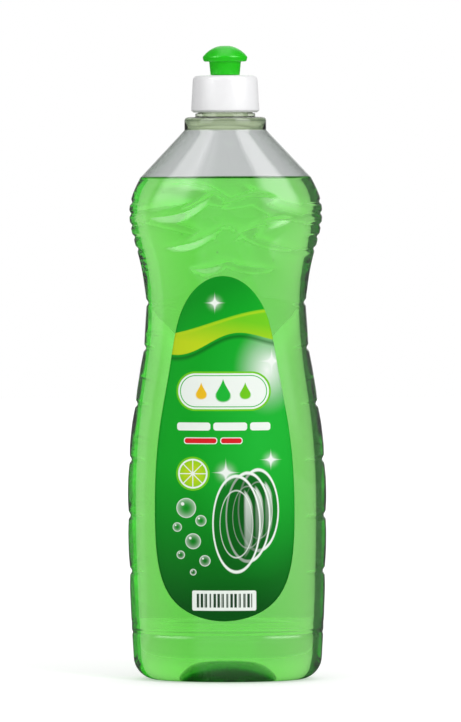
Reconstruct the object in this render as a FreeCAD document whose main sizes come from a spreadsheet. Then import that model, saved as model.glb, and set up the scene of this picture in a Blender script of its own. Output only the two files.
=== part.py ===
import FreeCAD, Part
import math
import os

import Sketcher

# A 750 ml dish soap bottle with a screw cap and a push-pull spout. Millimetres, +Z up, front to -Y.
# The origin is the middle of the base, on the surface that the bottle stands on.
SIZES = {
    # Oval sections of the blown body, from the base up: height, half width, half depth
    "base_half_width": 40.9,
    "base_half_depth": 26.3,
    "heel_height": 22.0,
    "heel_half_width": 42.2,
    "belly_height": 57.0,
    "belly_half_width": 43.5,
    "hip_height": 113.0,
    "hip_half_width": 41.7,
    "waist_height": 165.0,
    "waist_half_width": 35.5,
    "rib_height": 187.0,
    "rib_half_width": 38.6,
    "chest_height": 206.5,
    "chest_half_width": 42.5,
    "panel_half_depth": 27.95,
    "shoulder_height": 215.0,
    "shoulder_half_width": 40.5,
    "shoulder_half_depth": 26.9,
    "cone_height": 221.0,
    "cone_half_width": 37.6,
    "cone_half_depth": 25.0,
    # Shell of the bottle and its foot
    "wall": 0.5,
    "base_corner": 9.5,
    "push_up_height": 9.0,
    "push_up_half_width": 26.5,
    "push_up_half_depth": 15.4,
    # Collar and neck
    "collar_height": 241.8,
    "collar_rise": 5.7,
    "collar_radius": 18.0,
    "collar_corner": 1.5,
    "neck_root_radius": 13.2,
    "neck_root_rise": 1.6,
    "neck_radius": 12.0,
    "neck_rise": 15.9,
    "neck_wall": 1.8,
    # Horizontal grip grooves on both narrow sides
    "grip_lowest_height": 47.9,
    "grip_pitch": 24.6,
    "grip_top_height": 166.1,
    "grip_radius": 1.7,
    "grip_depth": 1.2,
    "grip_spread": 1.32,
    # Ends of the wave relief on the narrow sides of the chest
    "ripple_lowest_height": 189.6,
    "ripple_pitch": 5.2,
    "ripple_radius": 1.3,
    "ripple_depth": 0.8,
    "ripple_spread": 1.22,
    # Wave flutes on both broad sides of the chest
    "flute_radius": 3.0,
    "flute_depth": 1.0,
    # Groove round the foot
    "foot_groove_height": 23.6,
    "foot_groove_radius": 1.2,
    "foot_groove_depth": 0.4,
    # Liquid
    "fill_height": 221.0,
    "liquid_gap": 0.05,
    # Film label on the front
    "label_bottom_height": 27.6,
    "label_top_height": 178.2,
    "label_half_width": 30.5,
    "label_glue": 0.02,
    "label_film": 0.1,
    # Screw cap
    "cap_foot_gap": 0.4,
    "cap_bottom_radius": 15.0,
    "cap_top_radius": 14.1,
    "cap_corner": 2.2,
    "cap_bore_radius": 13.15,
    "cap_bore_chamfer": 0.4,
    "cap_bevel_width": 1.1,
    "cap_bevel_rise": 0.9,
    "deck": 1.4,
    "liner": 0.9,
    "liner_bore_radius": 10.4,
    "liner_side_gap": 0.1,
    # Tube and plug pin of the cap, inside the spout
    "tube_radius": 4.6,
    "tube_wall": 1.2,
    "tube_lid": 1.0,
    "bead_radius": 5.1,
    "bead_thickness": 0.9,
    "port_radius": 0.7,
    "port_circle_radius": 2.45,
    "pin_root_radius": 1.1,
    "pin_radius": 1.7,
    "pin_tip_length": 3.4,
    "pin_tip_taper": 0.5,
    "pin_inset": 0.5,
    # Pull spout
    "spout_deck_gap": 0.2,
    "spout_foot_radius": 6.4,
    "spout_throat_radius": 7.0,
    "spout_throat_rise": 5.95,
    "spout_head_radius": 9.9,
    "spout_rim_rise": 1.3,
    "spout_rise": 13.0,
    "spout_dome_radius": 12.2,
    "spout_rim_round": 0.7,
    "spout_fit": 0.15,
    "spout_lip": 1.5,
    "spout_cavity_gap": 0.3,
    "spout_travel": 5.0,
    "spout_stop_gap": 0.2,
}

# Share of the wall by which the inside of the sloping shoulder lies lower than its outside
SLOPE_SHARE = 0.4

# Evenly spaced grooves on each narrow side: of the grip, below its top one, and of the chest
GRIP_COUNT = 5
RIPPLE_COUNT = 5

# Degrees that the tool of a side groove turns round the bottle's edge
GROOVE_ANGLE = 90.0

# Half of the label's outline, from its top to its bottom: share of the half width, share of the height
LABEL_SHAPE = (
    (0.0, 1.0),
    (0.43, 0.955),
    (0.63, 0.88),
    (0.775, 0.73),
    (0.93, 0.55),
    (1.0, 0.30),
    (0.945, 0.155),
    (0.70, 0.052),
    (0.0, 0.0),
)

# Flow ports round the plug pin
PORT_COUNT = 4

# Wave flutes as seen from the front: the (x, z) of three points on each, left end first
FLUTES = (
    ((-35.0, 204.2), (-16.5, 206.6), (-1.0, 216.4)),
    ((-30.0, 190.8), (-13.0, 193.4), (6.5, 204.6)),
    ((-17.0, 181.8), (-4.5, 182.4), (6.0, 186.4)),
    ((0.0, 190.6), (13.0, 199.4), (33.0, 202.8)),
    ((-3.0, 207.0), (14.0, 213.0), (27.0, 211.6)),
)

doc = FreeCAD.newDocument("dish_soap_bottle")
sheet = doc.addObject("Spreadsheet::Sheet", "sizes")
for row, (alias, number) in enumerate(SIZES.items(), start=1):
    sheet.set(f"A{row}", alias)
    sheet.set(f"B{row}", str(number))
    sheet.setAlias(f"B{row}", alias)
doc.recompute()


class Size:
    """A length: its number in millimetres and the sheet expression that gives it."""

    def __init__(self, text, number):
        self.text = text
        self.number = number

    def joined(self, sign, other, number):
        """The expression of this length and another, with the number worked out."""
        text = other.text if isinstance(other, Size) else repr(other)
        return Size(f"({self.text} {sign} {text})", number)

    def __add__(self, other):
        return self.joined("+", other, self.number + plain(other))

    def __sub__(self, other):
        return self.joined("-", other, self.number - plain(other))

    def __mul__(self, other):
        return self.joined("*", other, self.number * plain(other))

    def __truediv__(self, other):
        return self.joined("/", other, self.number / plain(other))


def plain(length):
    """The number of a Size, or the number itself."""
    return length.number if isinstance(length, Size) else float(length)


def size(alias):
    """The Size of one cell of the sheet."""
    return Size(f"sizes.{alias}", float(sheet.get(alias)))


def bind(thing, **lengths):
    """Binds properties of a document object to Sizes."""
    for name, length in lengths.items():
        thing.setExpression(name, length.text)


def at_height(thing, height):
    """Binds the height of an object's Placement."""
    thing.setExpression(".Placement.Base.z", height.text)


def cylinder(label, radius, bottom, top):
    """An upright cylinder between two heights."""
    made = doc.addObject("Part::Cylinder", label)
    bind(made, Radius=radius, Height=top - bottom)
    at_height(made, bottom)
    return made


def arc_ring(label, side, middle, height, sweep_radius, groove_radius):
    """A level piece of torus that bows out to one side, its middle at the distance middle on that side."""
    made = doc.addObject("Part::Torus", label)
    made.Radius1 = sweep_radius
    bind(made, Radius2=groove_radius)
    made.Angle3 = GROOVE_ANGLE
    start = -GROOVE_ANGLE / 2 if side > 0 else 180 - GROOVE_ANGLE / 2
    made.Placement.Rotation = FreeCAD.Rotation(FreeCAD.Vector(0, 0, 1), start)
    made.Placement.Base.x = side * middle
    at_height(made, height)
    return made


def fused(label, pieces):
    """One solid from several that meet."""
    made = doc.addObject("Part::MultiFuse", label)
    made.Shapes = pieces
    return made


def cut(label, base, tool):
    """base with tool taken away."""
    made = doc.addObject("Part::Cut", label)
    made.Base = base
    made.Tool = tool
    return made


def coded(label, shape):
    """A Part::Feature for a shape that no primitive gives."""
    made = doc.addObject("Part::Feature", label)
    made.Shape = shape
    return made


def rounded(label, base, choose, radius):
    """base with the edges that choose picks rounded."""
    doc.recompute()
    made = doc.addObject("Part::Fillet", label)
    made.Base = base
    picked = [n for n, edge in enumerate(base.Shape.Edges, start=1) if choose(edge)]
    made.Edges = [(n, radius.number, radius.number) for n in picked]
    return made


def level_edge(height):
    """Picks closed edges that lie at one height."""

    def chosen(edge):
        box = edge.BoundBox
        level = abs(box.ZMin - height) < 1e-4 and abs(box.ZMax - height) < 1e-4
        return level and edge.isClosed()

    return chosen


# The body's oval sections, bottom first: name, height, half width, half depth
ZERO = size("wall") - size("wall")
PANEL = size("panel_half_depth")
SECTIONS = (
    ("base", ZERO, size("base_half_width"), size("base_half_depth")),
    ("heel", size("heel_height"), size("heel_half_width"), PANEL),
    ("belly", size("belly_height"), size("belly_half_width"), PANEL),
    ("hip", size("hip_height"), size("hip_half_width"), PANEL),
    ("waist", size("waist_height"), size("waist_half_width"), PANEL),
    ("rib", size("rib_height"), size("rib_half_width"), PANEL),
    ("chest", size("chest_height"), size("chest_half_width"), PANEL),
    ("shoulder", size("shoulder_height"), size("shoulder_half_width"), size("shoulder_half_depth")),
    ("cone", size("cone_height"), size("cone_half_width"), size("cone_half_depth")),
)


def oval(label, half_width, half_depth, height):
    """One level section of the bottle."""
    made = doc.addObject("Part::Ellipse", label)
    bind(made, MajorRadius=half_width, MinorRadius=half_depth)
    at_height(made, height)
    return made


def body_form(label, inset):
    """The body up to the foot of the cone, drawn in by inset, with its bottom corner rounded."""
    ovals = []
    for name, height, half_width, half_depth in SECTIONS:
        level = inset if name == "base" else height - inset * SLOPE_SHARE
        ovals.append(oval(f"{label}_{name}", half_width - inset, half_depth - inset, level))
    made = doc.addObject("Part::Loft", f"{label}_body")
    made.Sections = ovals
    made.Solid = True
    return rounded(f"{label}_rounded", made, level_edge(inset.number), size("base_corner") - inset)


def cone_form(label, inset):
    """The shoulder, straight from the body's top oval to the round collar."""
    _, height, half_width, half_depth = SECTIONS[-1]
    drop = inset * SLOPE_SHARE
    radius = size("collar_radius") - inset
    foot = oval(f"{label}_cone_foot", half_width - inset, half_depth - inset, height - drop)
    top = oval(f"{label}_cone_top", radius, radius, size("collar_height") - drop)
    made = doc.addObject("Part::Loft", f"{label}_cone")
    made.Sections = [foot, top]
    made.Solid = True
    made.Ruled = True
    return made


def push_up(label, inset):
    """The dome of the base, which the inside follows one wall higher."""
    made = doc.addObject("Part::Ellipsoid", label)
    bind(
        made,
        Radius1=size("push_up_height") + inset,
        Radius2=size("push_up_half_width") + inset,
        Radius3=size("push_up_half_depth") + inset,
    )
    made.Angle1 = -90
    made.Angle2 = 90
    return made


def half_axes(form, height):
    """The half width and half depth of a solid at one height."""
    wires = form.Shape.slice(FreeCAD.Vector(0, 0, 1), height)
    edge = wires[0].Edges[0]
    points = edge.discretize(Number=181)
    return max(p.x for p in points), max(p.y for p in points)


def side_grooves(label, form, heights, kind, inset):
    """Grooves round both narrow sides, deepest at the edge and running out towards the broad sides.

    A tool's sweep is flatter than the oval's edge by the kind's spread, so it leaves the surface at both ends.
    """
    made = []
    spread, radius, depth = size(f"{kind}_spread"), size(f"{kind}_radius"), size(f"{kind}_depth")
    for number, height in enumerate(heights, start=1):
        half_width, half_depth = half_axes(form, height.number)
        sweep = spread.number * half_depth**2 / half_width
        middle = half_width + radius.number - depth.number - sweep
        for side in (-1, 1):
            where = "left" if side < 0 else "right"
            name = f"{label}_{kind}_{where}_{number}"
            made.append(arc_ring(name, side, middle, height, sweep, radius + inset))
    return made


def foot_groove(label, form, inset):
    """A shallow groove all round the foot."""
    height, radius, depth = size("foot_groove_height"), size("foot_groove_radius"), size("foot_groove_depth")
    half_width, half_depth = half_axes(form, height.number)
    out = radius.number - depth.number
    path = Part.Ellipse(FreeCAD.Vector(0, 0, height.number), half_width + out, half_depth + out).toShape()
    start = FreeCAD.Vector(half_width + out, 0, height.number)
    circle = Part.Circle(start, FreeCAD.Vector(0, 1, 0), radius.number + inset.number).toShape()
    return coded(f"{label}_foot_groove", Part.Wire(path).makePipeShell([Part.Wire(circle)], True, True))


def flute(label, form, points, back, inset):
    """One wave flute: a round tool that dips into the broad side and leaves it at both ends."""
    radius, depth = size("flute_radius").number, size("flute_depth").number
    plan = Part.BSplineCurve()
    plan.interpolate([FreeCAD.Vector(x, 0, z) for x, z in points])
    first, last = plan.FirstParameter, plan.LastParameter
    stations = 7
    centres = []
    for station in range(stations):
        share = station / (stations - 1)
        spot = plan.value(first + share * (last - first))
        half_width, half_depth = half_axes(form, spot.z)
        along = -half_depth * math.sqrt(1 - (spot.x / half_width) ** 2)
        normal = FreeCAD.Vector(spot.x / half_width**2, along / half_depth**2, 0).normalize()
        dip = depth * (1.25 * math.sin(math.pi * share) - 0.25)
        centres.append(FreeCAD.Vector(spot.x, along, spot.z) + normal * (radius - dip))
    path = Part.BSplineCurve()
    path.interpolate(centres)
    shape = path.toShape()
    circle = Part.Circle(centres[0], path.tangent(path.FirstParameter)[0], radius + inset.number)
    tool = Part.Wire(shape).makePipeShell([Part.Wire(circle.toShape())], True, True)
    if back:
        tool.rotate(FreeCAD.Vector(0, 0, 0), FreeCAD.Vector(0, 0, 1), 180)
    return coded(label, tool)


def relief(label, form, inset):
    """Every groove of the shell, as one list of tools."""
    lowest, pitch = size("grip_lowest_height"), size("grip_pitch")
    grips = [lowest + pitch * n for n in range(GRIP_COUNT)] + [size("grip_top_height")]
    ripples = [size("ripple_lowest_height") + size("ripple_pitch") * n for n in range(RIPPLE_COUNT)]
    tools = side_grooves(label, form, grips, "grip", inset)
    tools += side_grooves(label, form, ripples, "ripple", inset)
    tools.append(foot_groove(label, form, inset))
    for number, points in enumerate(FLUTES, start=1):
        tools.append(flute(f"{label}_flute_front_{number}", form, points, False, inset))
        tools.append(flute(f"{label}_flute_back_{number}", form, points, True, inset))
    return tools


def grooved_form(label, inset, form):
    """The body and shoulder drawn in by inset, with the relief and the push-up cut in."""
    whole = fused(f"{label}_whole", [body_form(label, inset), cone_form(label, inset)])
    doc.recompute()
    tools = relief(label, form or whole, inset) + [push_up(f"{label}_push_up", inset)]
    return whole, cut(f"{label}_grooved", whole, fused(f"{label}_tools", tools))


def neck_form(label, inset, radius, top):
    """The hollow or solid stack of collar and neck above the cone."""
    foot = size("collar_height") - inset * SLOPE_SHARE
    shelf = size("collar_height") + size("collar_rise") - inset
    collar = cylinder(f"{label}_collar", size("collar_radius") - inset, foot, shelf)
    corner = size("collar_corner") - inset
    turned = rounded(f"{label}_collar_rounded", collar, level_edge(shelf.number), corner)
    return [turned, cylinder(f"{label}_neck", radius, foot, top)]


def bottle_heights():
    """The top of the collar, of the neck's root and of the rim."""
    shelf = size("collar_height") + size("collar_rise")
    return shelf, shelf + size("neck_root_rise"), shelf + size("neck_rise")


def bottle():
    """The blown shell, open at the rim: its outside less an inside that follows it one wall in."""
    shelf, root, rim = bottle_heights()
    whole, grooved = grooved_form("outer", ZERO, None)
    outside = [grooved] + neck_form("outer", ZERO, size("neck_radius"), rim)
    outside.append(cylinder("outer_neck_root", size("neck_root_radius"), shelf - size("wall"), root))
    _, hollow = grooved_form("inner", size("wall"), whole)
    bore = size("neck_radius") - size("neck_wall")
    inside = [hollow] + neck_form("inner", size("wall"), bore, rim)
    made = cut("bottle", fused("bottle_outside", outside), fused("bottle_inside", inside))
    return whole, made


def dish_soap(whole):
    """The liquid: the inside of the bottle up to the fill line."""
    inset = size("wall") + size("liquid_gap")
    _, filled = grooved_form("liquid", inset, whole)
    reach = size("chest_half_width") * 3.0
    box = doc.addObject("Part::Box", "below_fill_line")
    bind(box, Length=reach, Width=reach, Height=size("fill_height"))
    for axis in "xy":
        box.setExpression(f".Placement.Base.{axis}", f"-{(reach / 2.0).text}")
    made = doc.addObject("Part::Common", "dish_soap")
    made.Base = filled
    made.Tool = box
    return made


def front_label():
    """The film label: its outline carried onto the front of the body."""
    bottom, top = size("label_bottom_height").number, size("label_top_height").number
    half_width = size("label_half_width").number
    right = [(across * half_width, bottom + up * (top - bottom)) for across, up in LABEL_SHAPE]
    left = [(-x, z) for x, z in reversed(right[1:-1])]
    outline = Part.BSplineCurve()
    outline.interpolate([FreeCAD.Vector(x, 0, z) for x, z in right + left], PeriodicFlag=True)
    face = Part.Face(Part.Wire(outline.toShape()))
    prism = coded("label_prism", face.extrude(FreeCAD.Vector(0, -2 * size("panel_half_depth").number, 0)))
    back = body_form("label_back", size("label_glue") * -1.0)
    front = body_form("label_front", (size("label_glue") + size("label_film")) * -1.0)
    made = doc.addObject("Part::Common", "front_label")
    made.Base = prism
    made.Tool = cut("label_skin", front, back)
    return made


def turned(label, profiles):
    """A body made by turning closed outlines about Z. Each is a list of (radius, height) corners."""
    made = doc.addObject("PartDesign::Body", label)
    plane = next(f for f in made.Origin.OriginFeatures if f.Role == "XZ_Plane")
    for number, corners in enumerate(profiles, start=1):
        sketch = made.newObject("Sketcher::SketchObject", f"{label}_outline_{number}")
        sketch.AttachmentSupport = [(plane, "")]
        sketch.MapMode = "FlatFace"
        spots = [FreeCAD.Vector(radius.number, height.number, 0) for radius, height in corners]
        count = len(spots)
        for side in range(count):
            sketch.addGeometry(Part.LineSegment(spots[side], spots[(side + 1) % count]))
        for side in range(count):
            sketch.addConstraint(Sketcher.Constraint("Coincident", side, 2, (side + 1) % count, 1))
        for corner, (radius, height) in enumerate(corners):
            for axis, kind, length in (("r", "DistanceX", radius), ("z", "DistanceY", height)):
                index = sketch.addConstraint(Sketcher.Constraint(kind, -1, 1, corner, 1, length.number))
                sketch.renameConstraint(index, f"{axis}{corner}")
                sketch.setExpression(f"Constraints.{axis}{corner}", length.text)
        turn = made.newObject("PartDesign::Revolution", f"{label}_turn_{number}")
        turn.Profile = sketch
        turn.ReferenceAxis = (sketch, ["V_Axis"])
        turn.Angle = 360
        doc.recompute()
    return made


def dressed(body, kind, label, choose, length):
    """Rounds or chamfers the edges of a PartDesign body that choose picks."""
    doc.recompute()
    base = body.Tip
    feature = body.newObject(f"PartDesign::{kind}", label)
    names = [f"Edge{n}" for n, edge in enumerate(base.Shape.Edges, start=1) if choose(edge)]
    feature.Base = (base, names)
    bind(feature, **{"Radius" if kind == "Fillet" else "Size": length})
    doc.recompute()
    return feature


def circle_edge(radius, height):
    """Picks the circle of one radius at one height."""

    def chosen(edge):
        if not hasattr(edge.Curve, "Radius"):
            return False
        return abs(edge.Curve.Radius - radius) < 1e-3 and abs(edge.BoundBox.ZMin - height) < 1e-3

    return chosen


def cap_heights():
    """The foot of the cap, the underside of its deck and its top."""
    _, root, rim = bottle_heights()
    under = rim + size("liner")
    return root + size("cap_foot_gap"), under, under + size("deck")


def tube_heights():
    """The foot of the tube's bead, where the spout's lip stops, and the top of the tube."""
    lip_at_rest = cap_heights()[2] + size("spout_deck_gap") + size("spout_lip")
    bead_foot = lip_at_rest + size("spout_travel") + size("spout_stop_gap")
    return bead_foot, bead_foot + size("bead_thickness")


def spout_heights():
    """The foot, the top of the lip, the cavity's ceiling and the crown of the spout at rest."""
    foot = cap_heights()[2] + size("spout_deck_gap")
    lip = foot + size("spout_lip")
    ceiling = tube_heights()[1] + size("spout_cavity_gap")
    return foot, lip, ceiling, foot + size("spout_rise")


def screw_cap():
    """The white closure: skirt, deck, the tube that the spout rides on and its plug pin."""
    foot, under, top = cap_heights()
    bead_foot, tube_top = tube_heights()
    tube_bore = size("tube_radius") - size("tube_wall")
    bore = size("cap_bore_radius")
    pin_top = spout_heights()[3] - size("pin_inset")
    pin_step = pin_top - size("pin_tip_length")
    outline = (
        (bore + size("cap_bore_chamfer"), foot),
        (size("cap_bottom_radius") - size("cap_bevel_width"), foot),
        (size("cap_bottom_radius"), foot + size("cap_bevel_rise")),
        (size("cap_top_radius"), top),
        (size("tube_radius"), top),
        (size("tube_radius"), bead_foot),
        (size("bead_radius"), bead_foot),
        (size("bead_radius"), tube_top - size("bead_thickness") / 2.0),
        (size("tube_radius"), tube_top),
        (size("pin_root_radius"), tube_top),
        (size("pin_root_radius"), pin_step),
        (size("pin_radius"), pin_step + size("pin_tip_taper")),
        (size("pin_radius"), pin_top - size("pin_tip_taper")),
        (size("pin_radius") - size("pin_tip_taper"), pin_top),
        (ZERO, pin_top),
        (ZERO, tube_top - size("tube_lid")),
        (tube_bore, tube_top - size("tube_lid")),
        (tube_bore, under),
        (bore, under),
        (bore, foot + size("cap_bore_chamfer")),
    )
    made = turned("screw_cap", [outline])
    corner = circle_edge(size("cap_top_radius").number, top.number)
    dressed(made, "Fillet", "cap_corner_round", corner, size("cap_corner"))
    port = made.newObject("Sketcher::SketchObject", "flow_port")
    plane = next(f for f in made.Origin.OriginFeatures if f.Role == "XY_Plane")
    port.AttachmentSupport = [(plane, "")]
    port.MapMode = "FlatFace"
    port.setExpression(".AttachmentOffset.Base.z", tube_top.text)
    place = FreeCAD.Vector(size("port_circle_radius").number, 0, 0)
    port.addGeometry(Part.Circle(place, FreeCAD.Vector(0, 0, 1), size("port_radius").number))
    for name, constraint, length in (
        ("across", Sketcher.Constraint("DistanceX", -1, 1, 0, 3, place.x), size("port_circle_radius")),
        ("radius", Sketcher.Constraint("Radius", 0, size("port_radius").number), size("port_radius")),
    ):
        port.renameConstraint(port.addConstraint(constraint), name)
        port.setExpression(f"Constraints.{name}", length.text)
    port.addConstraint(Sketcher.Constraint("PointOnObject", 0, 3, -1))
    pocket = made.newObject("PartDesign::Pocket", "flow_port_cut")
    pocket.Profile = port
    pocket.setExpression("Length", (size("tube_lid") * 2.0).text)
    doc.recompute()
    pattern = made.newObject("PartDesign::PolarPattern", "flow_ports")
    pattern.Originals = [pocket]
    pattern.Axis = (port, ["N_Axis"])
    pattern.Angle = 360
    pattern.Occurrences = PORT_COUNT
    made.Tip = pattern
    return made


def sealing_ring():
    """The soft liner between the rim of the neck and the deck."""
    _, _, rim = bottle_heights()
    under = rim + size("liner")
    outside = size("cap_bore_radius") - size("liner_side_gap")
    outline = (
        (size("liner_bore_radius"), rim),
        (outside, rim),
        (outside, under),
        (size("liner_bore_radius"), under),
    )
    return turned("sealing_ring", [outline])


def pull_spout():
    """The green spout: a sleeve with a lip that stops at the tube's bead, and a domed head with its outlet."""
    foot, lip, ceiling, crown = spout_heights()
    throat = foot + size("spout_throat_rise")
    rim = throat + size("spout_rim_rise")
    outlet = size("pin_radius") + size("spout_fit")
    outline = (
        (size("tube_radius") + size("spout_fit"), foot),
        (size("spout_foot_radius"), foot),
        (size("spout_throat_radius"), throat),
        (size("spout_head_radius") - size("spout_rim_round"), throat),
        (size("spout_head_radius"), rim),
        (size("spout_head_radius"), crown),
        (outlet, crown),
        (outlet, ceiling),
        (size("bead_radius") + size("spout_fit"), ceiling),
        (size("bead_radius") + size("spout_fit"), lip),
        (size("tube_radius") + size("spout_fit"), lip),
    )
    blank = turned("spout_blank", [outline])
    dome = doc.addObject("Part::Sphere", "spout_dome")
    bind(dome, Radius=size("spout_dome_radius"))
    at_height(dome, crown - size("spout_dome_radius"))
    made = doc.addObject("Part::Common", "pull_spout")
    made.Base = blank
    stem = cylinder("spout_stem_space", size("spout_head_radius"), foot, throat)
    made.Tool = fused("spout_envelope", [dome, stem])
    return made


whole, shell = bottle()
pieces = {
    "bottle": shell,
    "dish_soap": dish_soap(whole),
    "front_label": front_label(),
    "screw_cap": screw_cap(),
    "sealing_ring": sealing_ring(),
    "pull_spout": pull_spout(),
}
doc.recompute()
for thing in doc.Objects:
    bad = {"Invalid", "Error"} & set(thing.State)
    if bad:
        raise RuntimeError(f"{thing.Label} is {sorted(bad)}")
os.makedirs("parts", exist_ok=True)
for name, thing in pieces.items():
    shape = thing.Shape
    if shape.isNull() or not shape.isValid():
        raise RuntimeError(f"{name} has no valid shape")
    shape.exportStep(f"parts/{name}.step")
    box = shape.BoundBox
    print(f"{name}: {len(shape.Solids)} solid, {shape.Volume / 1000:.2f} ml, {len(shape.Faces)} faces,")
    print(f"  x {box.XMin:.2f} {box.XMax:.2f} y {box.YMin:.2f} {box.YMax:.2f} z {box.ZMin:.2f} {box.ZMax:.2f}")
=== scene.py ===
"""The looks of the dish soap bottle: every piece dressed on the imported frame, in metres."""

import logging
import math
from dataclasses import dataclass, field
from enum import Enum
from typing import Sequence, Union

import bmesh
import bpy
import numpy as np
from mathutils import Matrix, Vector


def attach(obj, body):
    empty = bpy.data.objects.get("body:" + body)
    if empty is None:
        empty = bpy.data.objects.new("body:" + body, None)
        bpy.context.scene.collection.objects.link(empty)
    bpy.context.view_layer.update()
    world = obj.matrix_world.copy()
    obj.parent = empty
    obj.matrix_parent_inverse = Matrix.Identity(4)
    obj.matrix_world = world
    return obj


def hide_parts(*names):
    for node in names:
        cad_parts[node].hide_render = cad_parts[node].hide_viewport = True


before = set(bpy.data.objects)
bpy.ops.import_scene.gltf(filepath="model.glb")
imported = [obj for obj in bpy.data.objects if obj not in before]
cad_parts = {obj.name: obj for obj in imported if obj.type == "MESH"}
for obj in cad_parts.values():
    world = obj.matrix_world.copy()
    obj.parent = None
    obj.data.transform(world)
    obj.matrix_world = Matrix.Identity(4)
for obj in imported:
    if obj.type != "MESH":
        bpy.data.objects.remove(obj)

MM = 0.001
FILL_HEIGHT = 221.0
COLLAR_HEIGHT = 241.8
WELD = 1e-6
SLIVER = 1e-7
LOG = logging.getLogger("dish_soap_bottle")
Number = Union["Field", float]
Colour = tuple[float, float, float]
Spot = tuple[float, float]


class Body(Enum):
    """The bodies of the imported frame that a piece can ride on."""

    BOTTLE = "bottle_body"
    LINER = "liner"
    CAP = "cap"
    SPOUT = "spout"


@dataclass(frozen=True)
class Oval:
    """One level section of the blown body, in millimetres."""

    height: float
    half_width: float
    half_depth: float


@dataclass(frozen=True)
class Corner:
    """A corner of a turned outline, in millimetres, with the radius that rounds it."""

    radius: float
    height: float
    round: float = 0.0


class Curve:
    """A smooth curve through a few knots, bent as a natural cubic spline."""

    def __init__(self, places: Sequence[float], values: Sequence[float]) -> None:
        """Args: places: rising places of the knots. values: the value at each."""
        self.x = np.array(places, float)
        self.y = np.array(values, float)
        count = len(self.x)
        steps = np.diff(self.x)
        matrix, right = np.eye(count), np.zeros(count)
        for k in range(1, count - 1):
            matrix[k, k - 1 : k + 2] = steps[k - 1], 2 * (steps[k - 1] + steps[k]), steps[k]
            slopes = np.diff(self.y)[k - 1 : k + 1] / steps[k - 1 : k + 1]
            right[k] = 3 * (slopes[1] - slopes[0])
        self.bend = np.linalg.solve(matrix, right)

    def __call__(self, place: np.ndarray) -> np.ndarray:
        """The value of the curve.

        Args:
            place: one place or many.
        Returns: the value at each, in the same shape.
        """
        k = np.clip(np.searchsorted(self.x, place) - 1, 0, len(self.x) - 2)
        step = self.x[k + 1] - self.x[k]
        t = np.asarray(place, float) - self.x[k]
        slope = (self.y[k + 1] - self.y[k]) / step - step * (2 * self.bend[k] + self.bend[k + 1]) / 3
        rise = (self.bend[k + 1] - self.bend[k]) / (3 * step)
        return self.y[k] + t * (slope + t * (self.bend[k] + t * rise))


def bell(place: np.ndarray, reach: Union[np.ndarray, float]) -> np.ndarray:
    """A soft bump: one at the middle, nothing past the reach.

    Args:
        place: distance from the middle.
        reach: where the bump has run out.
    Returns: the height of the bump from 0 to 1.
    """
    share = np.clip(np.abs(place) / np.maximum(reach, 1e-6), 0, 1)
    return np.cos(share * math.pi / 2) ** 2


def chord(radius: float, depth: np.ndarray) -> np.ndarray:
    """Half the width of a groove of a round section that is so deep. Returns: the half width."""
    return np.sqrt(np.maximum(radius**2 - (radius - depth) ** 2, 0))


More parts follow.
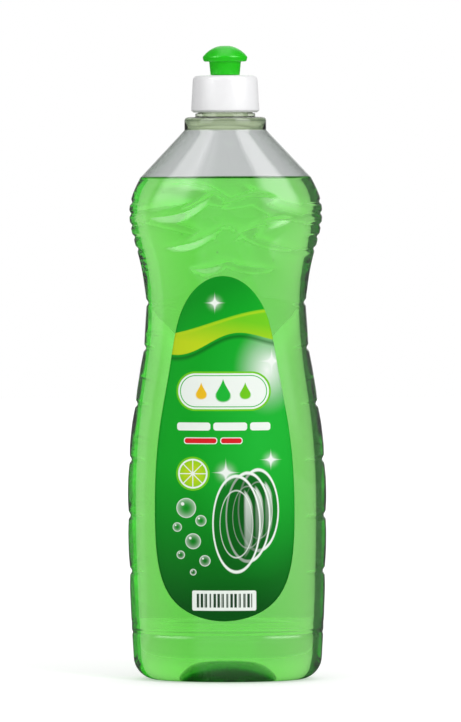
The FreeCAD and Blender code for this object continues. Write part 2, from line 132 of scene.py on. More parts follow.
@dataclass
class BodyForm:
    """The form of the blown body in millimetres, with its relief."""

    ovals: tuple[Oval, ...] = (
        Oval(0.0, 40.9, 26.3),
        Oval(22.0, 42.2, 27.95),
        Oval(57.0, 43.5, 27.95),
        Oval(113.0, 41.7, 27.95),
        Oval(165.0, 35.5, 27.95),
        Oval(187.0, 38.6, 27.95),
        Oval(206.5, 42.5, 27.95),
        Oval(215.0, 40.5, 26.9),
        Oval(FILL_HEIGHT, 37.6, 25.0),
    )
    base_corner: float = 9.5
    push_up: Oval = Oval(9.0, 26.5, 15.4)
    collar_height: float = COLLAR_HEIGHT
    collar_radius: float = 18.0
    wall: float = 0.5
    grips: tuple[float, ...] = (47.9, 72.5, 97.1, 121.7, 146.3, 166.1)
    grip_radius: float = 1.7
    grip_depth: float = 1.2
    grip_spread: float = 1.32
    grip_crown: float = 0.35
    grip_crown_reach: float = 9.0
    grip_blend: float = 1.25
    ripples: tuple[float, ...] = (189.6, 194.8, 200.0, 205.2, 210.4)
    ripple_radius: float = 1.3
    ripple_depth: float = 0.8
    ripple_spread: float = 1.22
    ripple_blend: float = 1.4
    flutes: tuple[tuple[Spot, ...], ...] = (
        ((-35.0, 204.2), (-16.5, 206.6), (-1.0, 216.4)),
        ((-30.0, 190.8), (-13.0, 193.4), (6.5, 204.6)),
        ((-17.0, 181.8), (-4.5, 182.4), (6.0, 186.4)),
        ((0.0, 190.6), (13.0, 199.4), (33.0, 202.8)),
        ((-3.0, 207.0), (14.0, 213.0), (27.0, 211.6)),
    )
    flute_radius: float = 3.0
    flute_depth: float = 1.25
    flute_run_out: float = 0.25
    flute_blend: float = 1.15
    flute_below: float = 1.35
    flute_above: float = 0.8
    flute_crease: float = 1.35
    flute_samples: int = 60
    flute_margin: float = 5.0
    foot_grooves: tuple[Spot, ...] = ((25.0, 0.4), (20.9, 0.35))
    foot_groove_reach: float = 1.3
    plain_step: float = 3.4
    groove_step: float = 0.45
    chest_step: float = 0.68
    shoulder_step: float = 1.2
    chest_zone: Spot = (178.5, 217.5)
    grip_zone: float = 2.8
    foot_zone: float = 1.7
    look_ahead: float = 0.3

    def __post_init__(self) -> None:
        """Fits the smooth curves of the body's half width and half depth."""
        heights = [oval.height for oval in self.ovals]
        self.width_curve = Curve(heights, [oval.half_width for oval in self.ovals])
        self.depth_curve = Curve(heights, [oval.half_depth for oval in self.ovals])

    def axes(self, height: np.ndarray) -> tuple[np.ndarray, np.ndarray]:
        """The body's half axes, straight from the top oval to the collar.

        Args:
            height: one height or many.
        Returns: the half width and the half depth at each.
        """
        top = self.ovals[-1]
        share = np.clip((height - top.height) / (self.collar_height - top.height), 0, 1)
        low = np.minimum(height, top.height)
        width = self.width_curve(low) + share * (self.collar_radius - top.half_width)
        depth = self.depth_curve(low) + share * (self.collar_radius - top.half_depth)
        return width, depth

    def side_depth(self, x: np.ndarray, y: np.ndarray, at: float, spread: float, radius: float,
                   depth: float) -> np.ndarray:
        """How deep one groove of the narrow sides lies round the oval.

        Args:
            x, y: points on the plain surface.
            at: the groove's height.
            spread: how much flatter its sweep is than the oval's edge.
            radius, depth: the groove's section radius and its depth at the edge.
        Returns: the depth at each point's place round the oval, before its section is applied.
        """
        width, deep = (float(v) for v in self.axes(np.float64(at)))
        sweep = spread * deep**2 / width
        middle = width + radius - depth - sweep
        away = np.hypot(np.abs(x) - middle, y)
        near = (np.abs(x) - middle) > away * math.cos(math.radians(45))
        return np.where(near, np.clip(radius - sweep + away, 0, depth), 0)

    def side_grooves(self, x: np.ndarray, y: np.ndarray, z: np.ndarray) -> np.ndarray:
        """The grip grooves and the ripples of the narrow sides.

        Args:
            x, y, z: points on the plain surface.
        Returns: how far each point sinks.
        """
        sunk = np.zeros_like(z)
        for at in self.grips:
            dip = self.side_depth(x, y, at, self.grip_spread, self.grip_radius, self.grip_depth)
            reach = chord(self.grip_radius, dip) * self.grip_blend
            crown = self.grip_crown * dip / self.grip_depth * bell(z - at, self.grip_crown_reach)
            sunk += (dip - crown) * bell(z - at, reach) + crown
        for at in self.ripples:
            dip = self.side_depth(x, y, at, self.ripple_spread, self.ripple_radius, self.ripple_depth)
            sunk += dip * bell(z - at, chord(self.ripple_radius, dip) * self.ripple_blend)
        return sunk

    def flute_grooves(self, points: np.ndarray) -> np.ndarray:
        """The wave flutes of both broad sides.

        Args:
            points: (n, 3) points on the plain surface.
        Returns: how far each sinks. A flute has a crease along its middle and runs out at its ends.
        """
        sunk = np.zeros(len(points))
        share = np.linspace(0, 1, self.flute_samples)
        swell = (1 + self.flute_run_out) * np.sin(math.pi * share) - self.flute_run_out
        dip = np.clip(self.flute_depth * swell, 0, None)
        for knots in self.flutes:
            places = [knot[0] for knot in knots]
            along_x = np.linspace(places[0], places[-1], self.flute_samples)
            along_z = Curve(places, [knot[1] for knot in knots])(along_x)
            width, depth = self.axes(along_z)
            along_y = -depth * np.sqrt(1 - (along_x / width) ** 2)
            for turn in (1, -1):
                path = np.stack([along_x * turn, along_y * turn, along_z], axis=1)
                gaps = np.linalg.norm(points[:, None, :] - path[None, :, :], axis=2)
                nearest = gaps.argmin(axis=1)
                gap, deep = gaps.min(axis=1), dip[nearest]
                reach = chord(self.flute_radius, deep) * self.flute_blend
                below = points[:, 2] < path[nearest, 2]
                reach = np.where(below, reach * self.flute_below, reach * self.flute_above)
                inside = np.clip(1 - gap / np.maximum(reach, 1e-6), 0, 1)
                sunk = np.maximum(sunk, deep * inside**self.flute_crease)
        return sunk

    def sink(self, grid: np.ndarray) -> np.ndarray:
        """Every groove together.

        Args:
            grid: (rows, columns, 3) points on the plain surface.
        Returns: how far each point sinks, as (rows, columns).
        """
        x, y, z = grid[..., 0], grid[..., 1], grid[..., 2]
        sunk = self.side_grooves(x, y, z)
        for at, depth in self.foot_grooves:
            sunk += depth * bell(z - at, self.foot_groove_reach)
        lowest = min(knot[1] for knots in self.flutes for knot in knots) - self.flute_margin
        highest = max(knot[1] for knots in self.flutes for knot in knots) + self.flute_margin
        rows = np.where((z[:, 0] > lowest) & (z[:, 0] < highest))[0]
        chest = grid[rows].reshape(-1, 3)
        sunk[rows] = np.maximum(sunk[rows], self.flute_grooves(chest).reshape(len(rows), -1))
        return sunk

    def levels(self, top: float) -> list[float]:
        """The heights of the rows above the base corner, closer where the relief is fine.

        Args:
            top: the height of the last row.
        Returns: the heights, rising.
        """
        low, high = self.chest_zone
        starts = [at - self.grip_zone for at in self.grips]
        found = [self.base_corner]
        while found[-1] < top:
            here = found[-1]
            soon = here + self.look_ahead
            step = self.plain_step
            if any(abs(soon - at) < self.grip_zone for at in self.grips):
                step = self.groove_step
            if any(abs(soon - at) < self.foot_zone for at, _ in self.foot_grooves):
                step = self.groove_step
            if low < here < high:
                step = self.chest_step
            if here >= high:
                step = self.shoulder_step
            found.append(min([here + step] + [start for start in starts if here < start < here + step]))
        found[-1] = top
        return found


@dataclass
class Lathe:
    """Turned outlines and the meshes that they make."""

    steps: int = 96
    arc_steps: int = 4
    longest_cut: float = 0.49

    def rounded(self, corners: Sequence[Corner]) -> list[Spot]:
        """Rounds the corners of an outline.

        Args:
            corners: the corners in order, back to the first.
        Returns: (radius, height) points in order.
        """
        points: list[Spot] = []
        count = len(corners)
        for n, corner in enumerate(corners):
            here = Vector((corner.radius, corner.height))
            if corner.round <= 0:
                points.append(tuple(here))
                continue
            back = Vector((corners[n - 1].radius, corners[n - 1].height)) - here
            on = Vector((corners[(n + 1) % count].radius, corners[(n + 1) % count].height)) - here
            half = back.angle(on) / 2
            cut = min(corner.round / math.tan(half), back.length * self.longest_cut,
                      on.length * self.longest_cut)
            start, end = here + back.normalized() * cut, here + on.normalized() * cut
            middle = here + (back.normalized() + on.normalized()).normalized() * (cut / math.cos(half))
            reach = (start - middle).length
            arm, far = (start - middle).normalized(), (end - middle).normalized()
            for k in range(self.arc_steps + 1):
                points.append(tuple(middle + arm.slerp(far, k / self.arc_steps) * reach))
        return points

    def turned(self, name: str, corners: Sequence[Corner]) -> bpy.types.Object:
        """Spins a closed outline round Z.

        Args:
            name: the object's name.
            corners: the outline's corners, which are rounded first.
        Returns: the new object.
        """
        mesh = bmesh.new()
        verts = [mesh.verts.new((radius * MM, 0, height * MM)) for radius, height in self.rounded(corners)]
        edges = [mesh.edges.new(pair) for pair in zip(verts, verts[1:] + verts[:1])]
        bmesh.ops.spin(mesh, geom=verts + edges, cent=(0, 0, 0), axis=(0, 0, 1), dvec=(0, 0, 0),
                       angle=math.tau, steps=self.steps, use_merge=True, use_duplicate=False)
        return finished(name, mesh)


def finished(name: str, mesh: bmesh.types.BMesh) -> bpy.types.Object:
    """Closes a mesh's doubles, turns its faces outwards and links it.

    Args:
        name: the object's name.
        mesh: the mesh, in metres, freed here.
    Returns: the new object.
    """
    bmesh.ops.remove_doubles(mesh, verts=mesh.verts, dist=WELD)
    bmesh.ops.dissolve_degenerate(mesh, edges=mesh.edges, dist=SLIVER)
    bmesh.ops.recalc_face_normals(mesh, faces=mesh.faces)
    for face in mesh.faces:
        face.smooth = True
    data = bpy.data.meshes.new(name)
    mesh.to_mesh(data)
    mesh.free()
    piece = bpy.data.objects.new(name, data)
    bpy.context.scene.collection.objects.link(piece)
    return piece


def wrapped(name: str, grid: np.ndarray) -> bpy.types.Object:
    """A closed skin from rows of points that run round Z.

    Args:
        name: the object's name.
        grid: (rows, columns, 3) points in millimetres. The last column meets the first.
    Returns: the new object, its first and last rows closed where they end in a point or meet.
    """
    rows, columns = grid.shape[:2]
    mesh = bmesh.new()
    bmesh.ops.create_grid(mesh, x_segments=columns, y_segments=rows - 1, size=0.5)
    for vert in mesh.verts:
        column = round((vert.co.x + 0.5) * columns) % columns
        row = round((vert.co.y + 0.5) * (rows - 1))
        vert.co = grid[row, column] * MM
    return finished(name, mesh)


def normals_of(grid: np.ndarray) -> np.ndarray:
    """Outward unit normals of rows of points round Z, straight down where a row is one point.

    Args:
        grid: (rows, columns, 3) points.
    Returns: the normals in the same shape.
    """
    across = np.roll(grid, -1, axis=1) - np.roll(grid, 1, axis=1)
    along = np.gradient(grid, axis=0)
    normal = np.cross(across, along)
    length = np.linalg.norm(normal, axis=2, keepdims=True)
    normal = normal / np.maximum(length, 1e-12)
    poles = length[:, 0, 0] < 1e-9
    normal[poles] = (0, 0, -1)
    return normal


class Field:
    """A number that changes over a surface, worked out by shader nodes and written as a formula."""

    def __init__(self, tree: "Tree", socket: bpy.types.NodeSocket) -> None:
        """Args: tree: the node tree it belongs to. socket: the output that carries it."""
        self.tree = tree
        self.socket = socket

    def __add__(self, other: Number) -> "Field":
        """The sum."""
        return self.tree.math("ADD", self, other)

    def __sub__(self, other: Number) -> "Field":
        """The difference."""
        return self.tree.math("SUBTRACT", self, other)

    def __rsub__(self, other: Number) -> "Field":
        """The difference from a number."""
        return self.tree.math("SUBTRACT", other, self)

    def __mul__(self, other: Number) -> "Field":
        """The product."""
        return self.tree.math("MULTIPLY", self, other)

    def __truediv__(self, other: Number) -> "Field":
        """The quotient."""
        return self.tree.math("DIVIDE", self, other)

    __radd__ = __add__
    __rmul__ = __mul__

    def abs(self) -> "Field":
        """The size without its sign."""
        return self.tree.math("ABSOLUTE", self)

    def sin(self) -> "Field":
        """The sine."""
        return self.tree.math("SINE", self)

    def power(self, other: float) -> "Field":
        """The power."""
        return self.tree.math("POWER", self, other)

    def least(self, other: Number) -> "Field":
        """The smaller of two."""
        return self.tree.math("MINIMUM", self, other)

    def most(self, other: Number) -> "Field":
        """The larger of two."""
        return self.tree.math("MAXIMUM", self, other)

    def below(self, edge: Number = 0.0, soft: float = 0.12) -> "Field":
        """One where this lies under an edge, with a soft border of so many millimetres."""
        return self.tree.math("MULTIPLY_ADD", self - edge, -1.0 / soft, 0.5, clamp=True)


class Tree:
    """A node tree with short calls for the nodes that a finish needs."""

    def __init__(self, tree: bpy.types.NodeTree) -> None:
        """Args: tree: a material's, world's or group's node tree, emptied here."""
        self.tree = tree
        self.tree.nodes.clear()

    def node(self, kind: str, **inputs: object) -> bpy.types.Node:
        """Adds a node.

        Args:
            kind: its type.
            inputs: a value or an output for each socket, by its name with _ for a space.
        Returns: the node.
        """
        made = self.tree.nodes.new(kind)
        for name, value in inputs.items():
            self.plug(made.inputs[name.replace("_", " ")], value)
        return made

    def plug(self, socket: bpy.types.NodeSocket, value: object) -> None:
        """Links an output to an input, or sets a plain value on it.

        Args:
            socket: the input.
            value: a Field, an output or a plain value.
        """
        if isinstance(value, Field):
            value = value.socket
        if isinstance(value, bpy.types.NodeSocket):
            self.tree.links.new(value, socket)
        else:
            socket.default_value = value

    def math(self, operation: str, first: Number, second: Number = 0.0, third: Number = 0.0,
             clamp: bool = False) -> Field:
        """One sum of up to three numbers.

        Args:
            operation: the Math node's operation.
            first, second, third: its numbers.
            clamp: whether the result is kept from 0 to 1.
        Returns: the result.
        """
        made = self.tree.nodes.new("ShaderNodeMath")
        made.operation = operation
        made.use_clamp = clamp
        for place, value in enumerate((first, second, third)):
            self.plug(made.inputs[place], value)
        return Field(self, made.outputs[0])

    def mix(self, share: Number, first: object, second: object) -> bpy.types.NodeSocket:
        """Blends two colours.

        Args:
            share: how much of the second.
            first, second: colours, or outputs that carry them.
        Returns: the colour socket.
        """
        made = self.tree.nodes.new("ShaderNodeMix")
        made.data_type = "RGBA"
        for socket, value in ((made.inputs[0], share), (made.inputs[6], first), (made.inputs[7], second)):
            if isinstance(value, tuple) and len(value) == 3:
                value = (*value, 1.0)
            self.plug(socket, value)
        return made.outputs[2]

    def place(self) -> tuple[Field, Field, Field]:
        """The point on the object in millimetres. Returns: its X, Y and Z."""
        spot = self.node("ShaderNodeTexCoord")
        apart = self.node("ShaderNodeSeparateXYZ", Vector=spot.outputs["Object"])
        return tuple(Field(self, apart.outputs[axis]) * 1000.0 for axis in "XYZ")


def material_tree(name: str) -> tuple[bpy.types.Material, Tree]:
    """A new material with an empty node tree. Args: name. Returns: the material and its tree."""
    material = bpy.data.materials.new(name)
    material.use_nodes = True
    return material, Tree(material.node_tree)


def moulded_skin() -> bpy.types.NodeTree:
    """The faint waviness and mottle of moulded plastic, as a group that several finishes use.

    Returns: the group. Inputs: Scale, Bump and Mottle. Outputs: Mottle, from 0 to 1, and Normal.
    """
    known = bpy.data.node_groups.get("moulded_skin")
    if known:
        return known
    group = bpy.data.node_groups.new("moulded_skin", "ShaderNodeTree")
    for name, value in (("Scale", 300.0), ("Bump", 0.05), ("Mottle", 1.0)):
        group.interface.new_socket(name, in_out="INPUT", socket_type="NodeSocketFloat").default_value = value
    group.interface.new_socket("Mottle", in_out="OUTPUT", socket_type="NodeSocketFloat")
    group.interface.new_socket("Normal", in_out="OUTPUT", socket_type="NodeSocketVector")
    tree = Tree(group)
    given = tree.node("NodeGroupInput")
    spot = tree.node("ShaderNodeTexCoord")
    noise = tree.node("ShaderNodeTexNoise", Vector=spot.outputs["Object"], Scale=given.outputs["Scale"],
                      Detail=3.0, Roughness=0.55)
    mottle = tree.math("MULTIPLY", Field(tree, noise.outputs[0]), given.outputs["Mottle"])
    bump = tree.node("ShaderNodeBump", Strength=given.outputs["Bump"], Height=noise.outputs[0],
                     Distance=0.0004)
    given_back = tree.node("NodeGroupOutput")
    tree.plug(given_back.inputs["Mottle"], mottle)
    tree.plug(given_back.inputs["Normal"], bump.outputs[0])
    return group


def skin_in(tree: Tree, scale: float, bump: float) -> bpy.types.Node:
    """Places the moulded skin in a material.

    Args:
        tree: the material's tree.
        scale: how fine its waviness is.
        bump: how strong its waviness is.
    Returns: the group node.
    """
    made = tree.tree.nodes.new("ShaderNodeGroup")
    made.node_tree = moulded_skin()
    made.inputs["Scale"].default_value = scale
    made.inputs["Bump"].default_value = bump
    return made


def lamp_lit(tree: Tree, glass: bpy.types.Node, shadow: Colour) -> bpy.types.NodeSocket:
    """Lets the lamps shine through a clear shader, so what is in it isn't in the dark.

    Args:
        tree: the material's tree.
        glass: the clear shader.
        shadow: how much of each colour the lamps get through it.
    Returns: the shader socket.
    """
    clear = tree.node("ShaderNodeBsdfTransparent", Color=(*shadow, 1.0))
    light = tree.node("ShaderNodeLightPath")
    either = tree.node("ShaderNodeMixShader", Fac=light.outputs["Is Shadow Ray"])
    tree.plug(either.inputs[1], glass.outputs[0])
    tree.plug(either.inputs[2], clear.outputs[0])
    return either.outputs[0]


@dataclass(frozen=True)
class MouldedPlastic:
    """Plain moulded plastic with a soft gloss."""

    name: str
    colour: Colour
    shade: Colour
    roughness: float = 0.34
    subsurface: float = 0.0
    scale: float = 260.0
    bump: float = 0.06
    unevenness: float = 0.12
    scatter: float = 0.002

    def material(self) -> bpy.types.Material:
        """Builds the material. Returns: it."""
        material, tree = material_tree(self.name)
        skin = skin_in(tree, self.scale, self.bump)
        mottle = Field(tree, skin.outputs["Mottle"])
        shader = tree.node(
            "ShaderNodeBsdfPrincipled",
            Base_Color=tree.mix(mottle, self.shade, self.colour),
            Roughness=mottle * self.unevenness + (self.roughness - self.unevenness / 2),
            Normal=skin.outputs["Normal"],
            IOR=1.5,
        )
        shader.inputs["Subsurface Weight"].default_value = self.subsurface
        shader.inputs["Subsurface Radius"].default_value = (self.scatter,) * 3
        tree.node("ShaderNodeOutputMaterial", Surface=shader.outputs[0])
        return material


@dataclass(frozen=True)
class ClearPet:
    """Clear blown PET with painted shade: dark painted rims at its edges, a grey painted shade above the
    soap, painted dark lines at the collar's folds and the fill line, a painted dark push-up, and an olive
    tint in the neck.
    """

    name: str = "clear_pet"
    wet: Colour = (0.985, 0.995, 0.985)
    dry_painted_shade: Colour = (0.815, 0.83, 0.83)
    neck: Colour = (0.68, 0.75, 0.60)
    base: Colour = (0.01, 0.27, 0.008)
    wet_painted_rim: Colour = (0.005, 0.26, 0.003)
    dry_painted_rim: Colour = (0.05, 0.12, 0.05)
    fold_painted_shade: Colour = (0.10, 0.17, 0.09)
    waterline_painted_shade: Colour = (0.13, 0.36, 0.10)
    shadow: Colour = (0.93, 0.97, 0.93)
    fill_height: float = FILL_HEIGHT
    collar_height: float = COLLAR_HEIGHT
    wet_fade: float = 0.8
    neck_fade: float = 1.0
    waterline_band: Spot = (0.35, 0.4)
    shaded_folds: tuple[float, ...] = (242.2, 246.0)
    fold_band: Spot = (0.25, 0.5)
    fold_least: float = 0.3
    base_rise: Spot = (9.6, 0.2)
    base_half: Spot = (27.5, 16.5)
    base_edge: Spot = (0.93, 0.1)
    wet_narrow: float = 3.5
    dry_narrow: float = 2.2
    skin_scale: float = 38.0
    skin_bump: float = 0.10
    haze: float = 0.03
    index: float = 1.45

    def tint(self, tree: Tree) -> bpy.types.NodeSocket:
        """The colour that the wall gives to what is behind it, with painted shade: darker towards its edges,
        in its folds, at the fill line and in the push-up.

        Args:
            tree: the material's tree.
        Returns: the colour socket.
        """
        x, y, z = tree.place()
        soaped = z.below(self.fill_height, self.wet_fade)
        body = z.below(self.collar_height, self.neck_fade)
        # Painted shade: the wall is tinted grey above the fill line, for the darker look of the empty
        # shoulder; the neck gets an olive tint.
        face = tree.mix(body, self.neck, tree.mix(soaped, self.dry_painted_shade, self.wet))
        # Painted shade: the push-up is tinted dark green, for the shade under the bottle seen through it.
        out = (x / self.base_half[0]).power(2.0) + (y / self.base_half[1]).power(2.0)
        face = tree.mix(out.below(*self.base_edge) * z.below(*self.base_rise), face, self.base)
        facing = Field(tree, tree.node("ShaderNodeLayerWeight", Blend=0.5).outputs["Facing"])
        # Painted shade: dark lines in the collar's folds, stronger towards the edges.
        for height in self.shaded_folds:
            crease = (z - height).abs().below(*self.fold_band)
            face = tree.mix(crease * (facing * (1.0 - self.fold_least) + self.fold_least), face, self.fold_painted_shade)
        # Painted shade: a dark line along the fill line.
        line = (z - self.fill_height).abs().below(*self.waterline_band)
        face = tree.mix(line, face, self.waterline_painted_shade)
        # Painted shade: a dark rim at grazing angles, dark green below the fill line and grey-green above
        # it.
        rim = soaped * facing.power(self.wet_narrow) + (1.0 - soaped) * facing.power(self.dry_narrow)
        return tree.mix(rim, face, tree.mix(soaped, self.dry_painted_rim, self.wet_painted_rim))

    def material(self) -> bpy.types.Material:
        """Builds the material. Returns: it."""
        material, tree = material_tree(self.name)
        skin = skin_in(tree, self.skin_scale, self.skin_bump)
        glass = tree.node(
            "ShaderNodeBsdfPrincipled",
            Base_Color=self.tint(tree),
            Roughness=Field(tree, skin.outputs["Mottle"]) * self.haze,
            Normal=skin.outputs["Normal"],
            IOR=self.index,
            Transmission_Weight=1.0,
        )
        tree.node("ShaderNodeOutputMaterial", Surface=lamp_lit(tree, glass, self.shadow))
        return material


@dataclass(frozen=True)
class GreenSoap:
    """Clear green dish soap that deepens with the length that light goes through it."""

    name: str = "green_soap"
    absorbed: Colour = (0.42, 0.945, 0.21)
    density: float = 55.0
    index: float = 1.35
    shadow: Colour = (0.40, 0.84, 0.22)
    skin_scale: float = 24.0
    skin_bump: float = 0.02

    def material(self) -> bpy.types.Material:
        """Builds the material. Returns: it."""
        material, tree = material_tree(self.name)
        skin = skin_in(tree, self.skin_scale, self.skin_bump)
        glass = tree.node(
            "ShaderNodeBsdfPrincipled",
            Base_Color=(1.0, 1.0, 1.0, 1.0),
            Roughness=0.0,
            Normal=skin.outputs["Normal"],
            IOR=self.index,
            Transmission_Weight=1.0,
        )
        inside = tree.node("ShaderNodeVolumeAbsorption", Color=(*self.absorbed, 1.0), Density=self.density)
        out = tree.node("ShaderNodeOutputMaterial", Surface=lamp_lit(tree, glass, self.shadow))
        tree.plug(out.inputs["Volume"], inside.outputs[0])
        return material


@dataclass(frozen=True)
class AirBubble:
    """Air inside the soap, which bends light the other way."""

    name: str = "air_bubble"
    index: float = 0.741
    pale: Colour = (0.85, 0.95, 0.85)
    skin_scale: float = 900.0
    skin_bump: float = 0.02

    def material(self) -> bpy.types.Material:
        """Builds the material. Returns: it."""
        material, tree = material_tree(self.name)
        skin = skin_in(tree, self.skin_scale, self.skin_bump)
        glass = tree.node(
            "ShaderNodeBsdfPrincipled",
            Base_Color=(*self.pale, 1.0),
            Roughness=0.0,
            Normal=skin.outputs["Normal"],
            IOR=self.index,
            Transmission_Weight=1.0,
        )
        tree.node("ShaderNodeOutputMaterial", Surface=glass.outputs[0])
        return material


@dataclass(frozen=True)
class LabelPrint:
    """The print on the label: generic fields of colour and plain kitchen motifs, in millimetres."""

    name: str = "label_print"
    deep: Colour = (0.001, 0.085, 0.006)
    leaf: Colour = (0.003, 0.37, 0.016)
    bright: Colour = (0.012, 0.47, 0.035)
    lime: Colour = (0.16, 0.58, 0.012)
    yellow: Colour = (0.52, 0.68, 0.012)
    gold: Colour = (0.85, 0.52, 0.015)
    red: Colour = (0.70, 0.015, 0.020)
    white: Colour = (0.86, 0.92, 0.86)
    ink: Colour = (0.015, 0.05, 0.02)
    skin_scale: float = 90.0
    skin_bump: float = 0.05
    smoothest: float = 0.38
    unevenness: float = 0.1
    plaque: Spot = (0.0, 128.0)
    plaque_steps: tuple[tuple[Spot, float], ...] = (
        ((20.6, 8.6), 8.4), ((19.8, 7.8), 7.7), ((19.0, 7.0), 6.9), ((18.6, 6.6), 6.5),
    )
    drops: tuple[tuple[Spot, float], ...] = (((0.0, 127.0), 3.7), ((-9.6, 127.2), 2.7), ((9.6, 127.2), 2.7))
    white_bars: tuple[Spot, ...] = ((-20.0, -6.0), (-4.0, 10.0), (12.0, 20.0))
    white_row: Spot = (112.6, 1.4)
    red_bars: tuple[Spot, ...] = ((-17.0, -3.0), (-1.0, 8.0))
    red_row: Spot = (106.4, 1.1)
    bar_rim: float = 0.35
    lime_slice: tuple[Spot, float] = ((-13.5, 92.0), 7.4)
    plates: tuple[tuple[Spot, float], ...] = (((15.0, 76.0), 8.6), ((10.5, 73.0), 9.4), ((5.5, 70.0), 10.2))
    plate_squash: float = 2.05
    suds: tuple[tuple[Spot, float], ...] = (
        ((-16.5, 77.0), 4.2), ((-10.0, 71.5), 2.3), ((-20.5, 68.6), 1.9), ((-13.5, 62.5), 3.3),
        ((-19.0, 56.5), 1.7), ((-8.3, 54.0), 2.3), ((-13.5, 49.0), 1.3),
    )
    sparkles: tuple[tuple[Spot, float], ...] = (
        ((20.5, 98.0), 5.0), ((1.0, 92.5), 6.5), ((-3.5, 166.5), 5.0), ((21.0, 141.0), 6.0),
    )
    card: Spot = (0.0, 36.6)
    card_half: Spot = (14.0, 4.4)
    stripes_half: Spot = (12.2, 3.0)

    def length(self, across: Field, up: Field) -> Field:
        """The length of a flat vector. Returns: it."""
        return (across * across + up * up).power(0.5)

    def disc(self, x: Field, z: Field, at: Spot, radius: float, squash: float = 1.0) -> Field:
        """How far a point lies outside a disc or an upright ellipse. Returns: the distance."""
        return self.length(x - at[0], (z - at[1]) / squash) - radius

    def panel(self, x: Field, z: Field, at: Spot, half: Spot, corner: float) -> Field:
        """The mask of a panel with round corners.

        Args:
            x, z: the point on the print.
            at: the panel's middle.
            half: half its width and height.
            corner: the radius of its corners.
        Returns: one inside it.
        """
        across = ((x - at[0]).abs() - (half[0] - corner)).most(0.0)
        up = ((z - at[1]).abs() - (half[1] - corner)).most(0.0)
        return (self.length(across, up) - corner).below()

    def star(self, x: Field, z: Field, at: Spot, reach: float) -> Field:
        """The mask of a four-pointed sparkle with a soft glow.

        Args:
            x, z: the point on the print.
            at: the sparkle's middle.
            reach: how far its glow goes.
        Returns: one at its heart.
        """
        across, up = (x - at[0]).abs() / reach, (z - at[1]).abs() / reach
        arms = (across.power(0.5) + up.power(0.5)).below(0.9, 0.35)
        glow = (1.0 - self.length(across, up)).most(0.0).power(2.5)
        return arms.most(glow)

    def drop(self, x: Field, z: Field, at: Spot, size: float) -> Field:
        """The mask of a falling drop.

        Args:
            x, z: the point on the print.
            at: the drop's middle.
            size: its radius.
        Returns: one inside it.
        """
        up = (z - at[1]) / size
        width = (1.0 - (up * 0.42 + 0.12)).most(0.0) * (1.0 - up.most(0.0) * 0.28)
        return self.length((x - at[0]) / (size * width.most(0.05)), (up - 0.35) / 1.35).below(1.0, 0.15)

    def ground(self, tree: Tree, x: Field, z: Field) -> bpy.types.NodeSocket:
        """The green field, lighter at the right and darker towards the foot, with a white shine.

        Args:
            tree: the material's tree.
            x, z: the point on the print.
        Returns: the colour.
        """
        rise = ((z - 34.0) / 62.0).most(0.0).least(1.0)
        colour = tree.mix(rise, self.deep, self.leaf)
        glow = (1.0 - self.length(x - 15.0, (z - 108.0) / 2.1) / 30.0).most(0.0)
        colour = tree.mix(glow, colour, self.bright)
        shine = (1.0 - self.length(x - 19.0, (z - 137.0) / 1.35) / 15.0).most(0.0).power(1.5)
        return tree.mix(shine, colour, self.white)

    def waves(self, tree: Tree, x: Field, z: Field, under: bpy.types.NodeSocket) -> bpy.types.NodeSocket:
        """The lime and yellow wave with its dark line, and the green field above it.

        Args:
            tree: the material's tree.
            x, z: the point on the print.
            under: the colour below the wave.
        Returns: the colour.
        """
        low = z - 149.5 - (x * 0.135 + 0.9).sin() * 3.2 - x * 0.13
        high = z - 158.5 - (x * 0.07 + 0.35).sin() * 3.0 - x * 0.12
        shade = tree.mix((low + 1.6).abs().below(0.7, 1.6) * 0.75, under, self.deep)
        share = ((z - 147.0) / 13.0 + x * 0.012).most(0.0).least(1.0)
        band = tree.mix(share, self.yellow, self.lime)
        colour = tree.mix(low.below(0.0, 0.25), band, shade)
        crest = tree.mix((high + 0.9).abs().below(0.5, 0.8) * 0.6, colour, self.yellow)
        upper = tree.mix(((z - 158.0) / 16.0 - x * 0.03).least(1.0).most(0.0), self.leaf, self.deep)
        return tree.mix(high.below(0.0, 0.25), tree.mix(0.7, upper, self.leaf), crest)

    def slice(self, tree: Tree, x: Field, z: Field, at: Spot, radius: float,
              under: bpy.types.NodeSocket) -> bpy.types.NodeSocket:
        """A slice of lime: rind, pith and eight segments.

        Args:
            tree: the material's tree.
            x, z: the point on the print.
            at, radius: the slice's middle and size.
            under: the colour behind it.
        Returns: the colour with it drawn.
        """
        out = self.disc(x, z, at, radius)
        turn = tree.math("ARCTAN2", z - at[1], x - at[0])
        gaps = (turn * 4.0).sin().abs() * (out + radius)
        flesh = out.below(-radius * 0.22) * (1.0 - gaps.below(radius * 0.11, 0.3))
        colour = tree.mix(out.below(), under, self.lime)
        colour = tree.mix(out.below(-radius * 0.12), colour, self.white)
        juice = tree.mix(((out + radius) / radius).power(2.0), self.yellow, self.lime)
        return tree.mix(flesh, colour, juice)

    def plate(self, tree: Tree, x: Field, z: Field, at: Spot, size: float,
              under: bpy.types.NodeSocket) -> bpy.types.NodeSocket:
        """A dish that stands on its edge, see-through, with a rim and a shine.

        Args:
            tree: the material's tree.
            x, z: the point on the print.
            at, size: the dish's middle and half its width.
            under: the colour behind it.
        Returns: the colour with it drawn.
        """
        out = self.disc(x, z, at, size, self.plate_squash)
        colour = tree.mix(out.below() * 0.62, under, self.deep)
        fade = ((z - at[1]) / (size * 4.2) + 0.45).most(0.0).least(1.0)
        shine = ((x - at[0]) / size - 0.52).abs().below(0.16, 0.10) * out.below(-size * 0.22, 0.5)
        colour = tree.mix(shine * fade, colour, self.white)
        colour = tree.mix(out.abs().below(0.32, 0.25), colour, self.white)
        return tree.mix((out + size * 0.30).abs().below(0.14, 0.22) * 0.75, colour, self.white)

